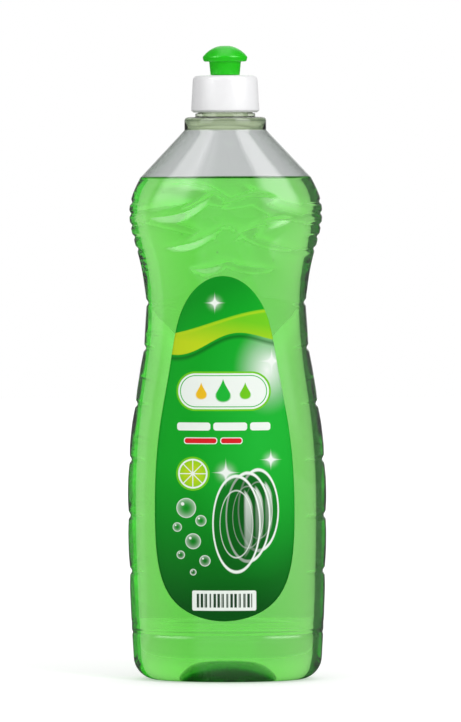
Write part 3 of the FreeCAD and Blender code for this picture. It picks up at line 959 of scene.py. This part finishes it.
    def bubble(self, tree: Tree, x: Field, z: Field, at: Spot, radius: float,
               under: bpy.types.NodeSocket) -> bpy.types.NodeSocket:
        """A round bubble with a hazy edge, a rim and a glint.

        Args:
            tree: the material's tree.
            x, z: the point on the print.
            at, radius: the bubble's middle and size.
            under: the colour behind it.
        Returns: the colour with it drawn.
        """
        out = self.disc(x, z, at, radius)
        haze = ((out + radius) / radius).most(0.0).power(2.5) * out.below()
        colour = tree.mix(haze * 0.5, under, self.white)
        colour = tree.mix(out.abs().below(0.13, 0.2) * 0.9, colour, self.white)
        glint = self.disc(x, z, (at[0] - radius * 0.38, at[1] + radius * 0.42), radius * 0.18)
        return tree.mix(glint.below(0.0, 0.25), colour, self.white)

    def badge(self, tree: Tree, x: Field, z: Field, under: bpy.types.NodeSocket) -> bpy.types.NodeSocket:
        """A pale plaque with round ends, a thin green line inside its edge, and three drops.

        Args:
            tree: the material's tree.
            x, z: the point on the print.
            under: the colour behind it.
        Returns: the colour with it drawn.
        """
        rim, face, outer, inner = (
            self.panel(x, z, self.plaque, half, corner) for half, corner in self.plaque_steps
        )
        colour = tree.mix(face, tree.mix(rim, under, self.lime), self.white)
        colour = tree.mix(outer * (1.0 - inner), colour, self.bright)
        for (at, size), tint in zip(self.drops, (self.bright, self.gold, self.lime)):
            colour = tree.mix(self.drop(x, z, at, size), colour, tint)
        return colour

    def bars(self, tree: Tree, x: Field, z: Field, under: bpy.types.NodeSocket) -> bpy.types.NodeSocket:
        """Rows of plain bars where a label has its words.

        Args:
            tree: the material's tree.
            x, z: the point on the print.
            under: the colour behind them.
        Returns: the colour with them drawn.
        """
        colour = under
        for bars, (height, half), tint in ((self.white_bars, self.white_row, self.white),
                                           (self.red_bars, self.red_row, self.red)):
            for left, right in bars:
                at, wide = ((left + right) / 2, height), (right - left) / 2
                rim = self.panel(x, z, at, (wide + self.bar_rim, half + self.bar_rim), 1.2)
                colour = tree.mix(rim, colour, self.white)
                colour = tree.mix(self.panel(x, z, at, (wide, half), 1.0), colour, tint)
        return colour

    def stripes(self, tree: Tree, x: Field, z: Field, under: bpy.types.NodeSocket) -> bpy.types.NodeSocket:
        """A white card with plain upright stripes.

        Args:
            tree: the material's tree.
            x, z: the point on the print.
            under: the colour behind it.
        Returns: the colour with it drawn.
        """
        colour = tree.mix(self.panel(x, z, self.card, self.card_half, 0.8), under, self.white)
        beat = (x * 3.4).sin() + (x * 7.7 + 1.0).sin() * 0.7
        ink = beat.below(0.1, 0.5) * self.panel(x, z, self.card, self.stripes_half, 0.1)
        return tree.mix(ink, colour, self.ink)

    def art(self, tree: Tree) -> bpy.types.NodeSocket:
        """The whole print, from its ground to its smallest motif.

        Args:
            tree: the material's tree.
        Returns: the colour socket.
        """
        x, _, z = tree.place()
        colour = self.waves(tree, x, z, self.ground(tree, x, z))
        colour = self.bars(tree, x, z, self.badge(tree, x, z, colour))
        colour = self.slice(tree, x, z, *self.lime_slice, colour)
        for at, size in self.plates:
            colour = self.plate(tree, x, z, at, size, colour)
        for at, radius in self.suds:
            colour = self.bubble(tree, x, z, at, radius, colour)
        for at, reach in self.sparkles:
            colour = tree.mix(self.star(x, z, at, reach), colour, self.white)
        return self.stripes(tree, x, z, colour)

    def material(self) -> bpy.types.Material:
        """Builds the material. Returns: it."""
        material, tree = material_tree(self.name)
        skin = skin_in(tree, self.skin_scale, self.skin_bump)
        shader = tree.node(
            "ShaderNodeBsdfPrincipled",
            Base_Color=self.art(tree),
            Roughness=Field(tree, skin.outputs["Mottle"]) * self.unevenness + self.smoothest,
            Normal=skin.outputs["Normal"],
            IOR=1.45,
            Specular_IOR_Level=0.15,
        )
        tree.node("ShaderNodeOutputMaterial", Surface=shader.outputs[0])
        return material


def dressed(piece: bpy.types.Object, body: Body, slot: str, *materials: bpy.types.Material) -> None:
    """Gives a piece its materials and its body.

    Args:
        piece: the new object.
        body: the body that it rides on.
        slot: the slot name of its finish; not used.
        materials: its materials in order.
    """
    for material in materials:
        piece.data.materials.append(material)
    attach(piece, body.value)
    LOG.info("%s: %d faces on %s", piece.name, len(piece.data.polygons), body.value)


@dataclass
class Bottle:
    """The blown bottle: shell, neck thread and the soap in it."""

    form: BodyForm = field(default_factory=BodyForm)
    around: int = 192
    push_up_rows: int = 13
    standing_rows: tuple[float, ...] = (0.04, 0.5, 0.96)
    corner_rows: int = 11
    cone_rows: int = 16
    collar_rise: float = 5.7
    collar_corner: float = 1.5
    neck_root_radius: float = 13.2
    neck_root_rise: float = 1.6
    neck_radius: float = 12.0
    neck_rise: float = 15.9
    neck_wall: float = 1.8
    thread_pitch: float = 4.233
    thread_turns: float = 1.6
    thread_rise: float = 3.2
    thread_crest: float = 0.95
    thread_root: float = 0.15
    fill_height: float = FILL_HEIGHT
    soap_overlap: float = 0.12
    meniscus: float = 0.9
    meniscus_fall: float = 30.0
    surface_rings: tuple[float, ...] = (1.0, 0.985, 0.96, 0.92, 0.8, 0.6, 0.4, 0.2, 0.0)
    bubble_depth: float = 2.6
    bubble_places: tuple[tuple[Spot, float], ...] = (
        ((-17.6, 196.4), 0.42), ((-2.3, 188.6), 0.38), ((9.5, 193.0), 0.22), ((-26.0, 214.5), 0.30),
        ((21.5, 185.0), 0.26),
    )

    def ring(self, half_width: float, half_depth: float, height: float) -> np.ndarray:
        """One level row of points round Z.

        Args:
            half_width, half_depth: the oval's half axes.
            height: its height.
        Returns: the points as (columns, 3).
        """
        angle = np.arange(self.around) * math.tau / self.around
        level = np.full(self.around, height)
        return np.stack([half_width * np.cos(angle), half_depth * np.sin(angle), level], axis=1)

    def foot_rows(self) -> list[np.ndarray]:
        """The push-up, the standing ring and the base corner. Returns: the rows, middle first."""
        form, rows = self.form, []
        up = form.push_up
        for turn in np.linspace(0, math.pi / 2, self.push_up_rows):
            rows.append(self.ring(up.half_width * math.sin(turn), up.half_depth * math.sin(turn),
                                  up.height * math.cos(turn)))
        base, corner = form.ovals[0], form.base_corner
        inner = (base.half_width - corner, base.half_depth - corner)
        for share in self.standing_rows:
            rows.append(self.ring(up.half_width + share * (inner[0] - up.half_width),
                                  up.half_depth + share * (inner[1] - up.half_depth), 0.0))
        for turn in np.linspace(0, math.pi / 2, self.corner_rows)[:-1]:
            height = corner * (1 - math.cos(turn))
            width, depth = form.axes(np.float64(height))
            inset = corner * (1 - math.sin(turn))
            rows.append(self.ring(float(width) - inset, float(depth) - inset, height))
        return rows

    def plain_body(self) -> np.ndarray:
        """The outside up to the collar without its relief. Returns: the grid."""
        form = self.form
        top = form.ovals[-1].height
        rows = self.foot_rows()
        cone = np.linspace(top, form.collar_height, self.cone_rows)[1:]
        for height in [*form.levels(top), *cone]:
            width, depth = form.axes(np.float64(height))
            rows.append(self.ring(float(width), float(depth), height))
        return np.array(rows)

    def body(self) -> tuple[np.ndarray, np.ndarray]:
        """The outside up to the collar with its relief. Returns: the grid and its normals."""
        grid = self.plain_body()
        sunk = self.form.sink(grid)
        flat = np.arange(len(grid)) < len(self.foot_rows())
        sunk[flat] = 0
        grid = grid - normals_of(grid) * sunk[..., None]
        return grid, normals_of(grid)

    def heights(self) -> tuple[float, float, float]:
        """The top of the collar, of the neck's root and of the rim."""
        shelf = self.form.collar_height + self.collar_rise
        return shelf, shelf + self.neck_root_rise, shelf + self.neck_rise

    def neck_rows(self) -> list[np.ndarray]:
        """The collar and neck, up the outside and down the inside. Returns: the rows in order."""
        shelf, root, rim = self.heights()
        foot, wall = self.form.collar_height, self.form.wall
        radius, bore = self.form.collar_radius, self.neck_radius - self.neck_wall
        corners = (
            Corner(radius, foot + 0.4),
            Corner(radius, foot + 2.4),
            Corner(radius, shelf, self.collar_corner),
            Corner(self.neck_root_radius, shelf, 0.35),
            Corner(self.neck_root_radius, root, 0.3),
            Corner(self.neck_radius, root, 0.3),
            Corner(self.neck_radius, rim, 0.35),
            Corner(bore, rim, 0.35),
            Corner(bore, shelf - wall, 0.3),
            Corner(radius - wall, shelf - wall, self.collar_corner - wall),
            Corner(radius - wall, foot + 0.2),
        )
        points = Lathe().rounded(corners)
        return [self.ring(point[0], point[0], point[1]) for point in points]

    def shell(self) -> bpy.types.Object:
        """The clear shell: its outside, the neck and an inside one wall in. Returns: the piece."""
        outside, normals = self.body()
        inside = (outside - normals * self.form.wall)[::-1]
        grid = np.concatenate([outside, np.array(self.neck_rows()), inside[1:]])
        piece = wrapped("blown_shell", grid)
        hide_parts("bottle")
        return piece

    def thread(self) -> bpy.types.Object:
        """The thread on the neck, a helical ridge that tapers at both ends. Returns: the piece."""
        _, root, _ = self.heights()
        return helix("neck_thread", self.neck_radius - self.thread_root, self.thread_crest,
                     root + self.thread_rise, self.thread_pitch, self.thread_turns)

    def soap(self) -> bpy.types.Object:
        """The liquid: the inside up to the fill line, with a meniscus. Returns: the piece."""
        outside, normals = self.body()
        inset = self.form.wall - self.soap_overlap
        below = outside[:, 0, 2] <= self.fill_height + 0.01
        skin = (outside - normals * inset)[below]
        lip = skin[-1].copy()
        rows = []
        for share in self.surface_rings:
            row = lip * share
            climb = self.meniscus * math.exp(-(1 - share) * self.meniscus_fall)
            row[:, 2] = self.fill_height - self.meniscus + climb
            rows.append(row)
        skin[-1, :, 2] = self.fill_height
        piece = wrapped("soap_in_bottle", np.concatenate([skin, np.array(rows)]))
        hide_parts("dish_soap")
        return piece

    def bubbles(self) -> bpy.types.Object:
        """A few small air bubbles behind the front wall. Returns: the piece."""
        mesh = bmesh.new()
        for (x, z), radius in self.bubble_places:
            width, depth = self.form.axes(np.float64(z))
            y = self.bubble_depth - float(depth) * math.sqrt(1 - (x / float(width)) ** 2)
            place = Matrix.Translation(Vector((x, y, z)) * MM)
            bmesh.ops.create_icosphere(mesh, subdivisions=3, radius=radius * MM, matrix=place)
        return finished("air_bubbles", mesh)

    def build(self) -> None:
        """Builds and dresses the pieces."""
        pet = ClearPet().material()
        dressed(self.shell(), Body.BOTTLE, "bottle", pet)
        dressed(self.thread(), Body.BOTTLE, "bottle", pet)
        dressed(self.soap(), Body.BOTTLE, "dish_soap", GreenSoap().material())
        dressed(self.bubbles(), Body.BOTTLE, "dish_soap", AirBubble().material())


def helix(name: str, root: float, crest: float, start: float, pitch: float, turns: float,
          inward: bool = False) -> bpy.types.Object:
    """A thread ridge that tapers at both ends.

    Args:
        name: the object's name.
        root: the radius that it stands on.
        crest: how far it stands out.
        start: the height of its lower end.
        pitch: its rise in one turn.
        turns: how many turns it makes.
        inward: whether it stands towards the axis.
    Returns: the new object.
    """
    steps_a_turn, foot, land, taper_rate, overlap = 72, 1.0, 0.35, 5, 0.02
    steps = int(steps_a_turn * turns)
    way = -1 if inward else 1
    mesh = bmesh.new()
    outline = ((0.0, -foot), (crest, -land), (crest, land), (0.0, foot))
    verts = [mesh.verts.new(((root + way * out) * MM, 0, (start + up) * MM)) for out, up in outline]
    face = mesh.faces.new(verts)
    bmesh.ops.spin(mesh, geom=[face], cent=(0, 0, 0), axis=(0, 0, 1),
                   dvec=(0, 0, pitch * turns / steps * MM), angle=math.tau * turns, steps=steps)
    for vert in mesh.verts:
        radius = math.hypot(vert.co.x, vert.co.y)
        turn = (vert.co.z / MM - start) / pitch
        taper = max(0.0, min(1.0, (turn + overlap) * taper_rate, (turns + overlap - turn) * taper_rate))
        wanted = (root + way * abs(radius / MM - root) * taper) * MM
        vert.co.x *= wanted / radius
        vert.co.y *= wanted / radius
    return finished(name, mesh)


@dataclass
class Label:
    """The film label on the front."""

    bottle: Bottle
    bottom: float = 27.6
    top: float = 178.2
    half_width: float = 30.5
    glue: float = 0.06
    film: float = 0.12
    shape: tuple[Spot, ...] = (
        (0.0, 0.0), (0.052, 0.70), (0.155, 0.945), (0.30, 1.0), (0.55, 0.93), (0.73, 0.775), (0.88, 0.63),
        (0.955, 0.43), (1.0, 0.0),
    )
    across: int = 64
    along: int = 150
    turned_back: float = 0.2

    def half_at(self, share: np.ndarray) -> np.ndarray:
        """The outline's half width, round at both ends.

        Args:
            share: places up its height, from 0 to 1.
        Returns: the half width at each.
        """
        turn = np.arccos(1 - 2 * share)
        knots = [math.acos(1 - 2 * up) for up, _ in self.shape]
        return np.maximum(Curve(knots, [wide for _, wide in self.shape])(turn), 0) * self.half_width

    def film_piece(self) -> bpy.types.Object:
        """The film, laid on the body's front. Returns: the piece, its back in the second material."""
        mesh = bmesh.new()
        bmesh.ops.create_grid(mesh, x_segments=self.across, y_segments=self.along, size=0.5)
        rise = np.array([(1 - math.cos(math.pi * (vert.co.y + 0.5))) / 2 for vert in mesh.verts])
        half = self.half_at(np.clip(rise, 0, 1))
        height = self.bottom + rise * (self.top - self.bottom)
        width, depth = self.bottle.form.axes(height)
        for vert, wide, level, a, b in zip(mesh.verts, half, height, width, depth):
            x = 2 * vert.co.x * wide
            y = -b * math.sqrt(1 - (x / a) ** 2)
            out = Vector((x / a**2, y / b**2, 0)).normalized() * self.glue
            vert.co = Vector((x + out.x, y + out.y, level)) * MM
        bmesh.ops.remove_doubles(mesh, verts=mesh.verts, dist=WELD)
        bmesh.ops.recalc_face_normals(mesh, faces=mesh.faces)
        if sum(face.normal.y for face in mesh.faces) > 0:
            bmesh.ops.reverse_faces(mesh, faces=mesh.faces)
        bmesh.ops.solidify(mesh, geom=mesh.faces[:], thickness=-self.film * MM)
        piece = finished("film_label", mesh)
        for polygon in piece.data.polygons:
            polygon.material_index = int(polygon.normal.y > self.turned_back)
        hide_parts("front_label")
        return piece

    def build(self) -> None:
        """Builds and dresses the label."""
        back = MouldedPlastic("label_back", (0.62, 0.80, 0.55), (0.55, 0.74, 0.50), 0.5)
        dressed(self.film_piece(), Body.BOTTLE, "front_label", LabelPrint().material(), back.material())


@dataclass
class Closure:
    """The screw cap with its tube and pin, the liner and the pull spout."""

    bottle: Bottle
    foot_gap: float = 0.4
    bottom_radius: float = 15.0
    top_radius: float = 14.1
    corner: float = 2.2
    bore_radius: float = 13.15
    bore_chamfer: float = 0.4
    bevel_width: float = 1.1
    bevel_rise: float = 0.9
    deck: float = 1.4
    liner: float = 0.9
    liner_bore: float = 10.4
    tube_radius: float = 4.6
    tube_wall: float = 1.2
    tube_lid: float = 1.0
    bead_radius: float = 5.1
    bead_thickness: float = 0.9
    pin_root_radius: float = 1.1
    pin_radius: float = 1.7
    pin_tip_length: float = 3.4
    pin_inset: float = 0.5
    travel: float = 5.0
    stop_gap: float = 0.2
    deck_gap: float = 0.2
    spout_foot_radius: float = 6.4
    spout_throat_radius: float = 7.0
    spout_throat_rise: float = 5.95
    spout_head_radius: float = 9.9
    spout_rise: float = 13.0
    dome_radius: float = 12.2
    fit: float = 0.15
    lip: float = 1.5
    pin_bevel: float = 0.5
    ceiling_gap: float = 0.3
    dome_rings: tuple[float, ...] = (8.6, 7.2, 5.8, 4.4, 3.2)
    thread_rise: float = 5.2
    thread_crest: float = 0.85
    thread_turns: float = 1.3
    clearance: float = 0.1

    def __post_init__(self) -> None:
        """Works out the heights that the pieces share."""
        _, self.root, self.rim = self.bottle.heights()
        self.under = self.rim + self.liner
        self.top = self.under + self.deck
        self.spout_foot = self.top + self.deck_gap
        self.bead_foot = self.spout_foot + self.lip + self.travel + self.stop_gap
        self.tube_top = self.bead_foot + self.bead_thickness
        self.crown = self.spout_foot + self.spout_rise

    def cap(self) -> bpy.types.Object:
        """The white closure. Returns: the piece."""
        foot = self.root + self.foot_gap
        bore = self.tube_radius - self.tube_wall
        pin_top = self.crown - self.pin_inset
        pin_step = pin_top - self.pin_tip_length
        corners = (
            Corner(self.bore_radius + self.bore_chamfer, foot, 0.15),
            Corner(self.bottom_radius - self.bevel_width, foot, 0.2),
            Corner(self.bottom_radius, foot + self.bevel_rise, 0.5),
            Corner(self.top_radius, self.top, self.corner),
            Corner(self.tube_radius, self.top, 0.2),
            Corner(self.tube_radius, self.bead_foot, 0.1),
            Corner(self.bead_radius, self.bead_foot, 0.15),
            Corner(self.bead_radius, self.tube_top - self.bead_thickness / 2, 0.15),
            Corner(self.tube_radius, self.tube_top, 0.15),
            Corner(self.pin_root_radius, self.tube_top, 0.15),
            Corner(self.pin_root_radius, pin_step, 0.1),
            Corner(self.pin_radius, pin_step + self.pin_bevel, 0.1),
            Corner(self.pin_radius, pin_top - self.pin_bevel, 0.1),
            Corner(self.pin_radius - self.pin_bevel, pin_top, 0.1),
            Corner(0.0, pin_top),
            Corner(0.0, self.tube_top - self.tube_lid),
            Corner(bore, self.tube_top - self.tube_lid, 0.1),
            Corner(bore, self.under, 0.1),
            Corner(self.bore_radius, self.under, 0.2),
            Corner(self.bore_radius, foot + self.bore_chamfer, 0.1),
        )
        piece = Lathe(steps=128).turned("white_cap", corners)
        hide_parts("screw_cap")
        return piece

    def liner_ring(self) -> bpy.types.Object:
        """The sealing ring under the deck. Returns: the piece."""
        outside = self.bore_radius - self.clearance
        corners = (
            Corner(self.liner_bore, self.rim, 0.12),
            Corner(outside, self.rim, 0.12),
            Corner(outside, self.under, 0.12),
            Corner(self.liner_bore, self.under, 0.12),
        )
        piece = Lathe().turned("liner_ring", corners)
        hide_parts("sealing_ring")
        return piece

    def dome(self, radius: float) -> float:
        """The height of the spout's dome at a radius."""
        return self.crown - self.dome_radius + math.sqrt(self.dome_radius**2 - radius**2)

    def spout(self) -> bpy.types.Object:
        """The green spout with its domed head. Returns: the piece."""
        throat = self.spout_foot + self.spout_throat_rise
        outlet = self.pin_radius + self.fit
        inside = self.bead_radius + self.fit
        ceiling = self.tube_top + self.ceiling_gap
        rim_height = self.dome(self.spout_head_radius)
        corners = (
            Corner(self.tube_radius + self.fit, self.spout_foot, 0.12),
            Corner(self.spout_foot_radius, self.spout_foot, 0.25),
            Corner(self.spout_throat_radius, throat, 0.35),
            Corner(self.spout_head_radius - 0.5, throat, 0.9),
            Corner(self.spout_head_radius, rim_height, 0.9),
            *(Corner(radius, self.dome(radius)) for radius in self.dome_rings),
            Corner(outlet, self.dome(outlet), 0.15),
            Corner(outlet, ceiling, 0.1),
            Corner(inside, ceiling, 0.2),
            Corner(inside, self.spout_foot + self.lip, 0.1),
            Corner(self.tube_radius + self.fit, self.spout_foot + self.lip, 0.1),
        )
        piece = Lathe(steps=128).turned("green_spout", corners)
        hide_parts("pull_spout")
        return piece

    def build(self) -> None:
        """Builds and dresses the pieces."""
        white = MouldedPlastic("white_polypropylene", (0.93, 0.93, 0.94), (0.90, 0.90, 0.91), 0.36, 0.05)
        green = MouldedPlastic("green_polyethylene", (0.012, 0.62, 0.003), (0.010, 0.56, 0.002), 0.30, 0.05)
        foam = MouldedPlastic("liner_foam", (0.80, 0.80, 0.76), (0.74, 0.74, 0.70), 0.7, 0.0, 900.0)
        white_material = white.material()
        dressed(self.cap(), Body.CAP, "screw_cap", white_material)
        inner = helix("cap_thread", self.bore_radius + self.clearance, self.thread_crest,
                      self.root + self.thread_rise, self.bottle.thread_pitch, self.thread_turns, inward=True)
        dressed(inner, Body.CAP, "screw_cap", white_material)
        dressed(self.liner_ring(), Body.LINER, "sealing_ring", foam.material())
        dressed(self.spout(), Body.SPOUT, "pull_spout", green.material())


@dataclass(frozen=True)
class SoftBox:
    """An upright soft light that gloss shows: degrees round from the camera's side, and sines of height."""

    middle: float
    half: float
    low: float
    high: float
    strength: float
    soft: float = 12.0
    fade: float = 0.3
    top_fade: float = 0.2

    def mask(self, round_z: Field, up: Field) -> Field:
        """Its light in a direction.

        Args:
            round_z: the direction's degrees round Z.
            up: the direction's Z.
        Returns: the level of light.
        """
        wide = (round_z - self.middle).abs().below(self.half, self.soft)
        tall = up.below(self.high, self.top_fade) * (0.0 - up).below(-self.low, self.fade)
        return wide * tall * self.strength


@dataclass(frozen=True)
class Lamp:
    """A soft box that lights the bottle, in metres and watts."""

    name: str
    place: tuple[float, float, float]
    size: Spot
    watts: float
    aim_height: float = 0.14

    def build(self) -> None:
        """Builds the lamp, turned towards the middle of the bottle and unseen in gloss and glass."""
        data = bpy.data.lights.new(self.name, "AREA")
        data.shape = "RECTANGLE"
        data.size, data.size_y = self.size
        data.energy = self.watts
        lamp = bpy.data.objects.new(self.name, data)
        lamp.visible_glossy = False
        lamp.visible_transmission = False
        bpy.context.scene.collection.objects.link(lamp)
        way = Vector((0, 0, self.aim_height)) - Vector(self.place)
        turned = way.to_track_quat("-Z", "Y").to_matrix().to_4x4()
        lamp.matrix_world = Matrix.Translation(self.place) @ turned


@dataclass
class Studio:
    """The floor, the world, the lamps and the camera."""

    azimuth: float = 3.0
    elevation: float = 2.0
    distance: float = 2.7
    frame_height: float = 0.3177
    aim: tuple[float, float, float] = (0.0018, 0.0, 0.1402)
    roll: float = -0.26
    floor_half: float = 3.0
    floor_pale: Colour = (0.86, 0.86, 0.86)
    floor_worn: Colour = (0.84, 0.84, 0.84)
    floor_in_gloss: Colour = (0.15, 0.16, 0.15)
    floor_reach: float = 1300.0
    floor_near: float = 0.38
    floor_far: float = 0.66
    glass_near: float = 0.02
    glass_far: float = 0.48
    glass_level: float = 0.94
    horizon_dim: float = 0.16
    horizon_band: Spot = (0.02, 0.22)
    back_band: Spot = (0.26, 0.2)
    back_least: float = 0.12
    front_band: Spot = (0.25, 0.5)
    front_least: float = 0.2
    right_band: Spot = (0.88, 0.16)
    right_least: float = 0.75
    card_side: Spot = (0.45, 0.15)
    card_ahead: Spot = (-0.05, 0.10)
    card_depth: float = 0.85
    plain_level: float = 0.58
    bounces: int = 24
    soft_boxes: tuple[SoftBox, ...] = (
        SoftBox(-54.0, 21.0, 0.15, 0.85, 5.0),
        SoftBox(56.0, 21.0, 0.15, 0.85, 6.5),
        SoftBox(-32.0, 16.0, 0.48, 0.60, 3.6, fade=0.06),
        SoftBox(0.0, 180.0, 0.92, 1.5, 0.6, fade=0.05),
    )
    lamps: tuple[Lamp, ...] = (
        Lamp("left_box", (-0.75, -0.85, 0.45), (0.20, 0.8), 1.4),
        Lamp("right_box", (0.75, -0.85, 0.50), (0.25, 0.8), 5.2),
        Lamp("top_box", (0.0, 0.1, 1.2), (1.2, 1.2), 2.6),
    )

    def floor(self) -> None:
        """A pale floor that shows white and keeps the shadow, dim in gloss and near the bottle in glass."""
        mesh = bmesh.new()
        bmesh.ops.create_grid(mesh, x_segments=8, y_segments=8, size=self.floor_half)
        piece = finished("floor", mesh)
        material, tree = material_tree("pale_floor")
        noise = tree.node("ShaderNodeTexNoise", Scale=3.0, Detail=2.0)
        colour = tree.mix(Field(tree, noise.outputs[0]), self.floor_worn, self.floor_pale)
        path = tree.node("ShaderNodeLightPath")
        through = Field(tree, path.outputs["Is Transmission Ray"])
        gloss = Field(tree, path.outputs["Is Glossy Ray"]) * (1.0 - through)
        colour = tree.mix(gloss, colour, self.floor_in_gloss)
        x, y, _ = tree.place()
        far = (x * x + y * y).power(0.5).most(1.0)
        carded = self.card(x / far, y / far) * through
        colour = tree.mix(carded, colour, (0.0, 0.0, 0.0))
        matt = tree.node("ShaderNodeBsdfDiffuse", Color=colour)
        away = (far / (self.floor_reach + through * self.floor_reach)).least(1.0)
        near = self.floor_near - through * (self.floor_near - self.glass_near)
        rise = self.floor_far - through * (self.floor_far - self.glass_far) - near
        lit = (away * rise + near) * (1.0 - gloss) * (1.0 - carded)
        lift = tree.node("ShaderNodeEmission", Strength=self.seen(tree, path) * lit)
        both = tree.node("ShaderNodeAddShader")
        tree.plug(both.inputs[0], matt.outputs[0])
        tree.plug(both.inputs[1], lift.outputs[0])
        tree.node("ShaderNodeOutputMaterial", Surface=both.outputs[0])
        piece.data.materials.append(material)

    def seen(self, tree: Tree, path: bpy.types.Node) -> Field:
        """What the camera sees by itself, in a gloss or through glass.

        Args:
            tree: the material's or the world's tree.
            path: its Light Path node.
        Returns: one where it is seen, and nothing where it only lights the scene.
        """
        camera, gloss, through = (
            Field(tree, path.outputs[name])
            for name in ("Is Camera Ray", "Is Glossy Ray", "Is Transmission Ray")
        )
        return camera.most(gloss).most(through)

    def card(self, side: Field, ahead: Field) -> Field:
        """The dark card at the left of the camera, which darkens the edges of clear things.

        Args:
            side, ahead: a direction's X and Y.
        Returns: how much of the light the card takes there.
        """
        left = 1.0 - (0.0 - side).below(*self.card_side)
        return left * ahead.below(*self.card_ahead) * self.card_depth

    def world(self) -> None:
        """White to look at, with soft boxes in gloss, the dark card, and a plain level of light."""
        world = bpy.data.worlds.new("studio")
        bpy.context.scene.world = world
        world.use_nodes = True
        tree = Tree(world.node_tree)
        path = tree.node("ShaderNodeLightPath")
        direct = Field(tree, path.outputs["Is Camera Ray"])
        through = Field(tree, path.outputs["Is Transmission Ray"])
        way = tree.node("ShaderNodeTexCoord")
        apart = tree.node("ShaderNodeSeparateXYZ", Vector=way.outputs["Generated"])
        side, ahead, up = (Field(tree, apart.outputs[axis]) for axis in "XYZ")
        back = side.abs().below(*self.back_band) * (1.0 - self.back_least) + self.back_least
        front = (0.0 - ahead).below(*self.front_band) * (1.0 - self.front_least) + self.front_least
        right = side.below(*self.right_band) * (1.0 - self.right_least) + self.right_least
        in_gloss = back * front * (1.0 - through)
        in_glass = (self.glass_level - up.below(*self.horizon_band) * self.horizon_dim) * through
        shown = right * (1.0 - self.card(side, ahead)) * (in_gloss + in_glass)
        round_z = tree.math("ARCTAN2", side, 0.0 - ahead) * math.degrees(1)
        for box in self.soft_boxes:
            shown = shown + box.mask(round_z, up) * (1.0 - through)
        level = (shown.most(direct) - self.plain_level) * self.seen(tree, path) + self.plain_level
        sky = tree.node("ShaderNodeBackground", Color=(1, 1, 1, 1), Strength=level)
        tree.node("ShaderNodeOutputWorld", Surface=sky.outputs[0])

    def camera(self) -> None:
        """A long lens at the photograph's angle."""
        data = bpy.data.cameras.new("camera")
        data.sensor_fit = "VERTICAL"
        data.sensor_height = 36.0
        data.lens = data.sensor_height * self.distance / self.frame_height
        camera = bpy.data.objects.new("camera", data)
        bpy.context.scene.collection.objects.link(camera)
        turn, up = math.radians(self.azimuth), math.radians(self.elevation)
        aim = Vector(self.aim)
        place = aim + self.distance * Vector(
            (math.sin(turn) * math.cos(up), -math.cos(turn) * math.cos(up), math.sin(up))
        )
        face = (aim - place).to_track_quat("-Z", "Y").to_matrix().to_4x4()
        roll = Matrix.Rotation(math.radians(self.roll), 4, "Z")
        camera.matrix_world = Matrix.Translation(place) @ face @ roll
        bpy.context.scene.camera = camera

    def build(self) -> None:
        """Sets the stage."""
        self.floor()
        self.world()
        for lamp in self.lamps:
            lamp.build()
        self.camera()
        bpy.context.scene.view_settings.view_transform = "Standard"
        bpy.context.scene.cycles.max_bounces = self.bounces
        bpy.context.scene.cycles.transmission_bounces = self.bounces


def main() -> None:
    """Builds the pieces in order."""
    logging.basicConfig(level=logging.INFO, format="%(name)s: %(message)s")
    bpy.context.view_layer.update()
    bottle = Bottle()
    bottle.build()
    Label(bottle).build()
    Closure(bottle).build()
    Studio().build()


if __name__ == "__main__":
    main()
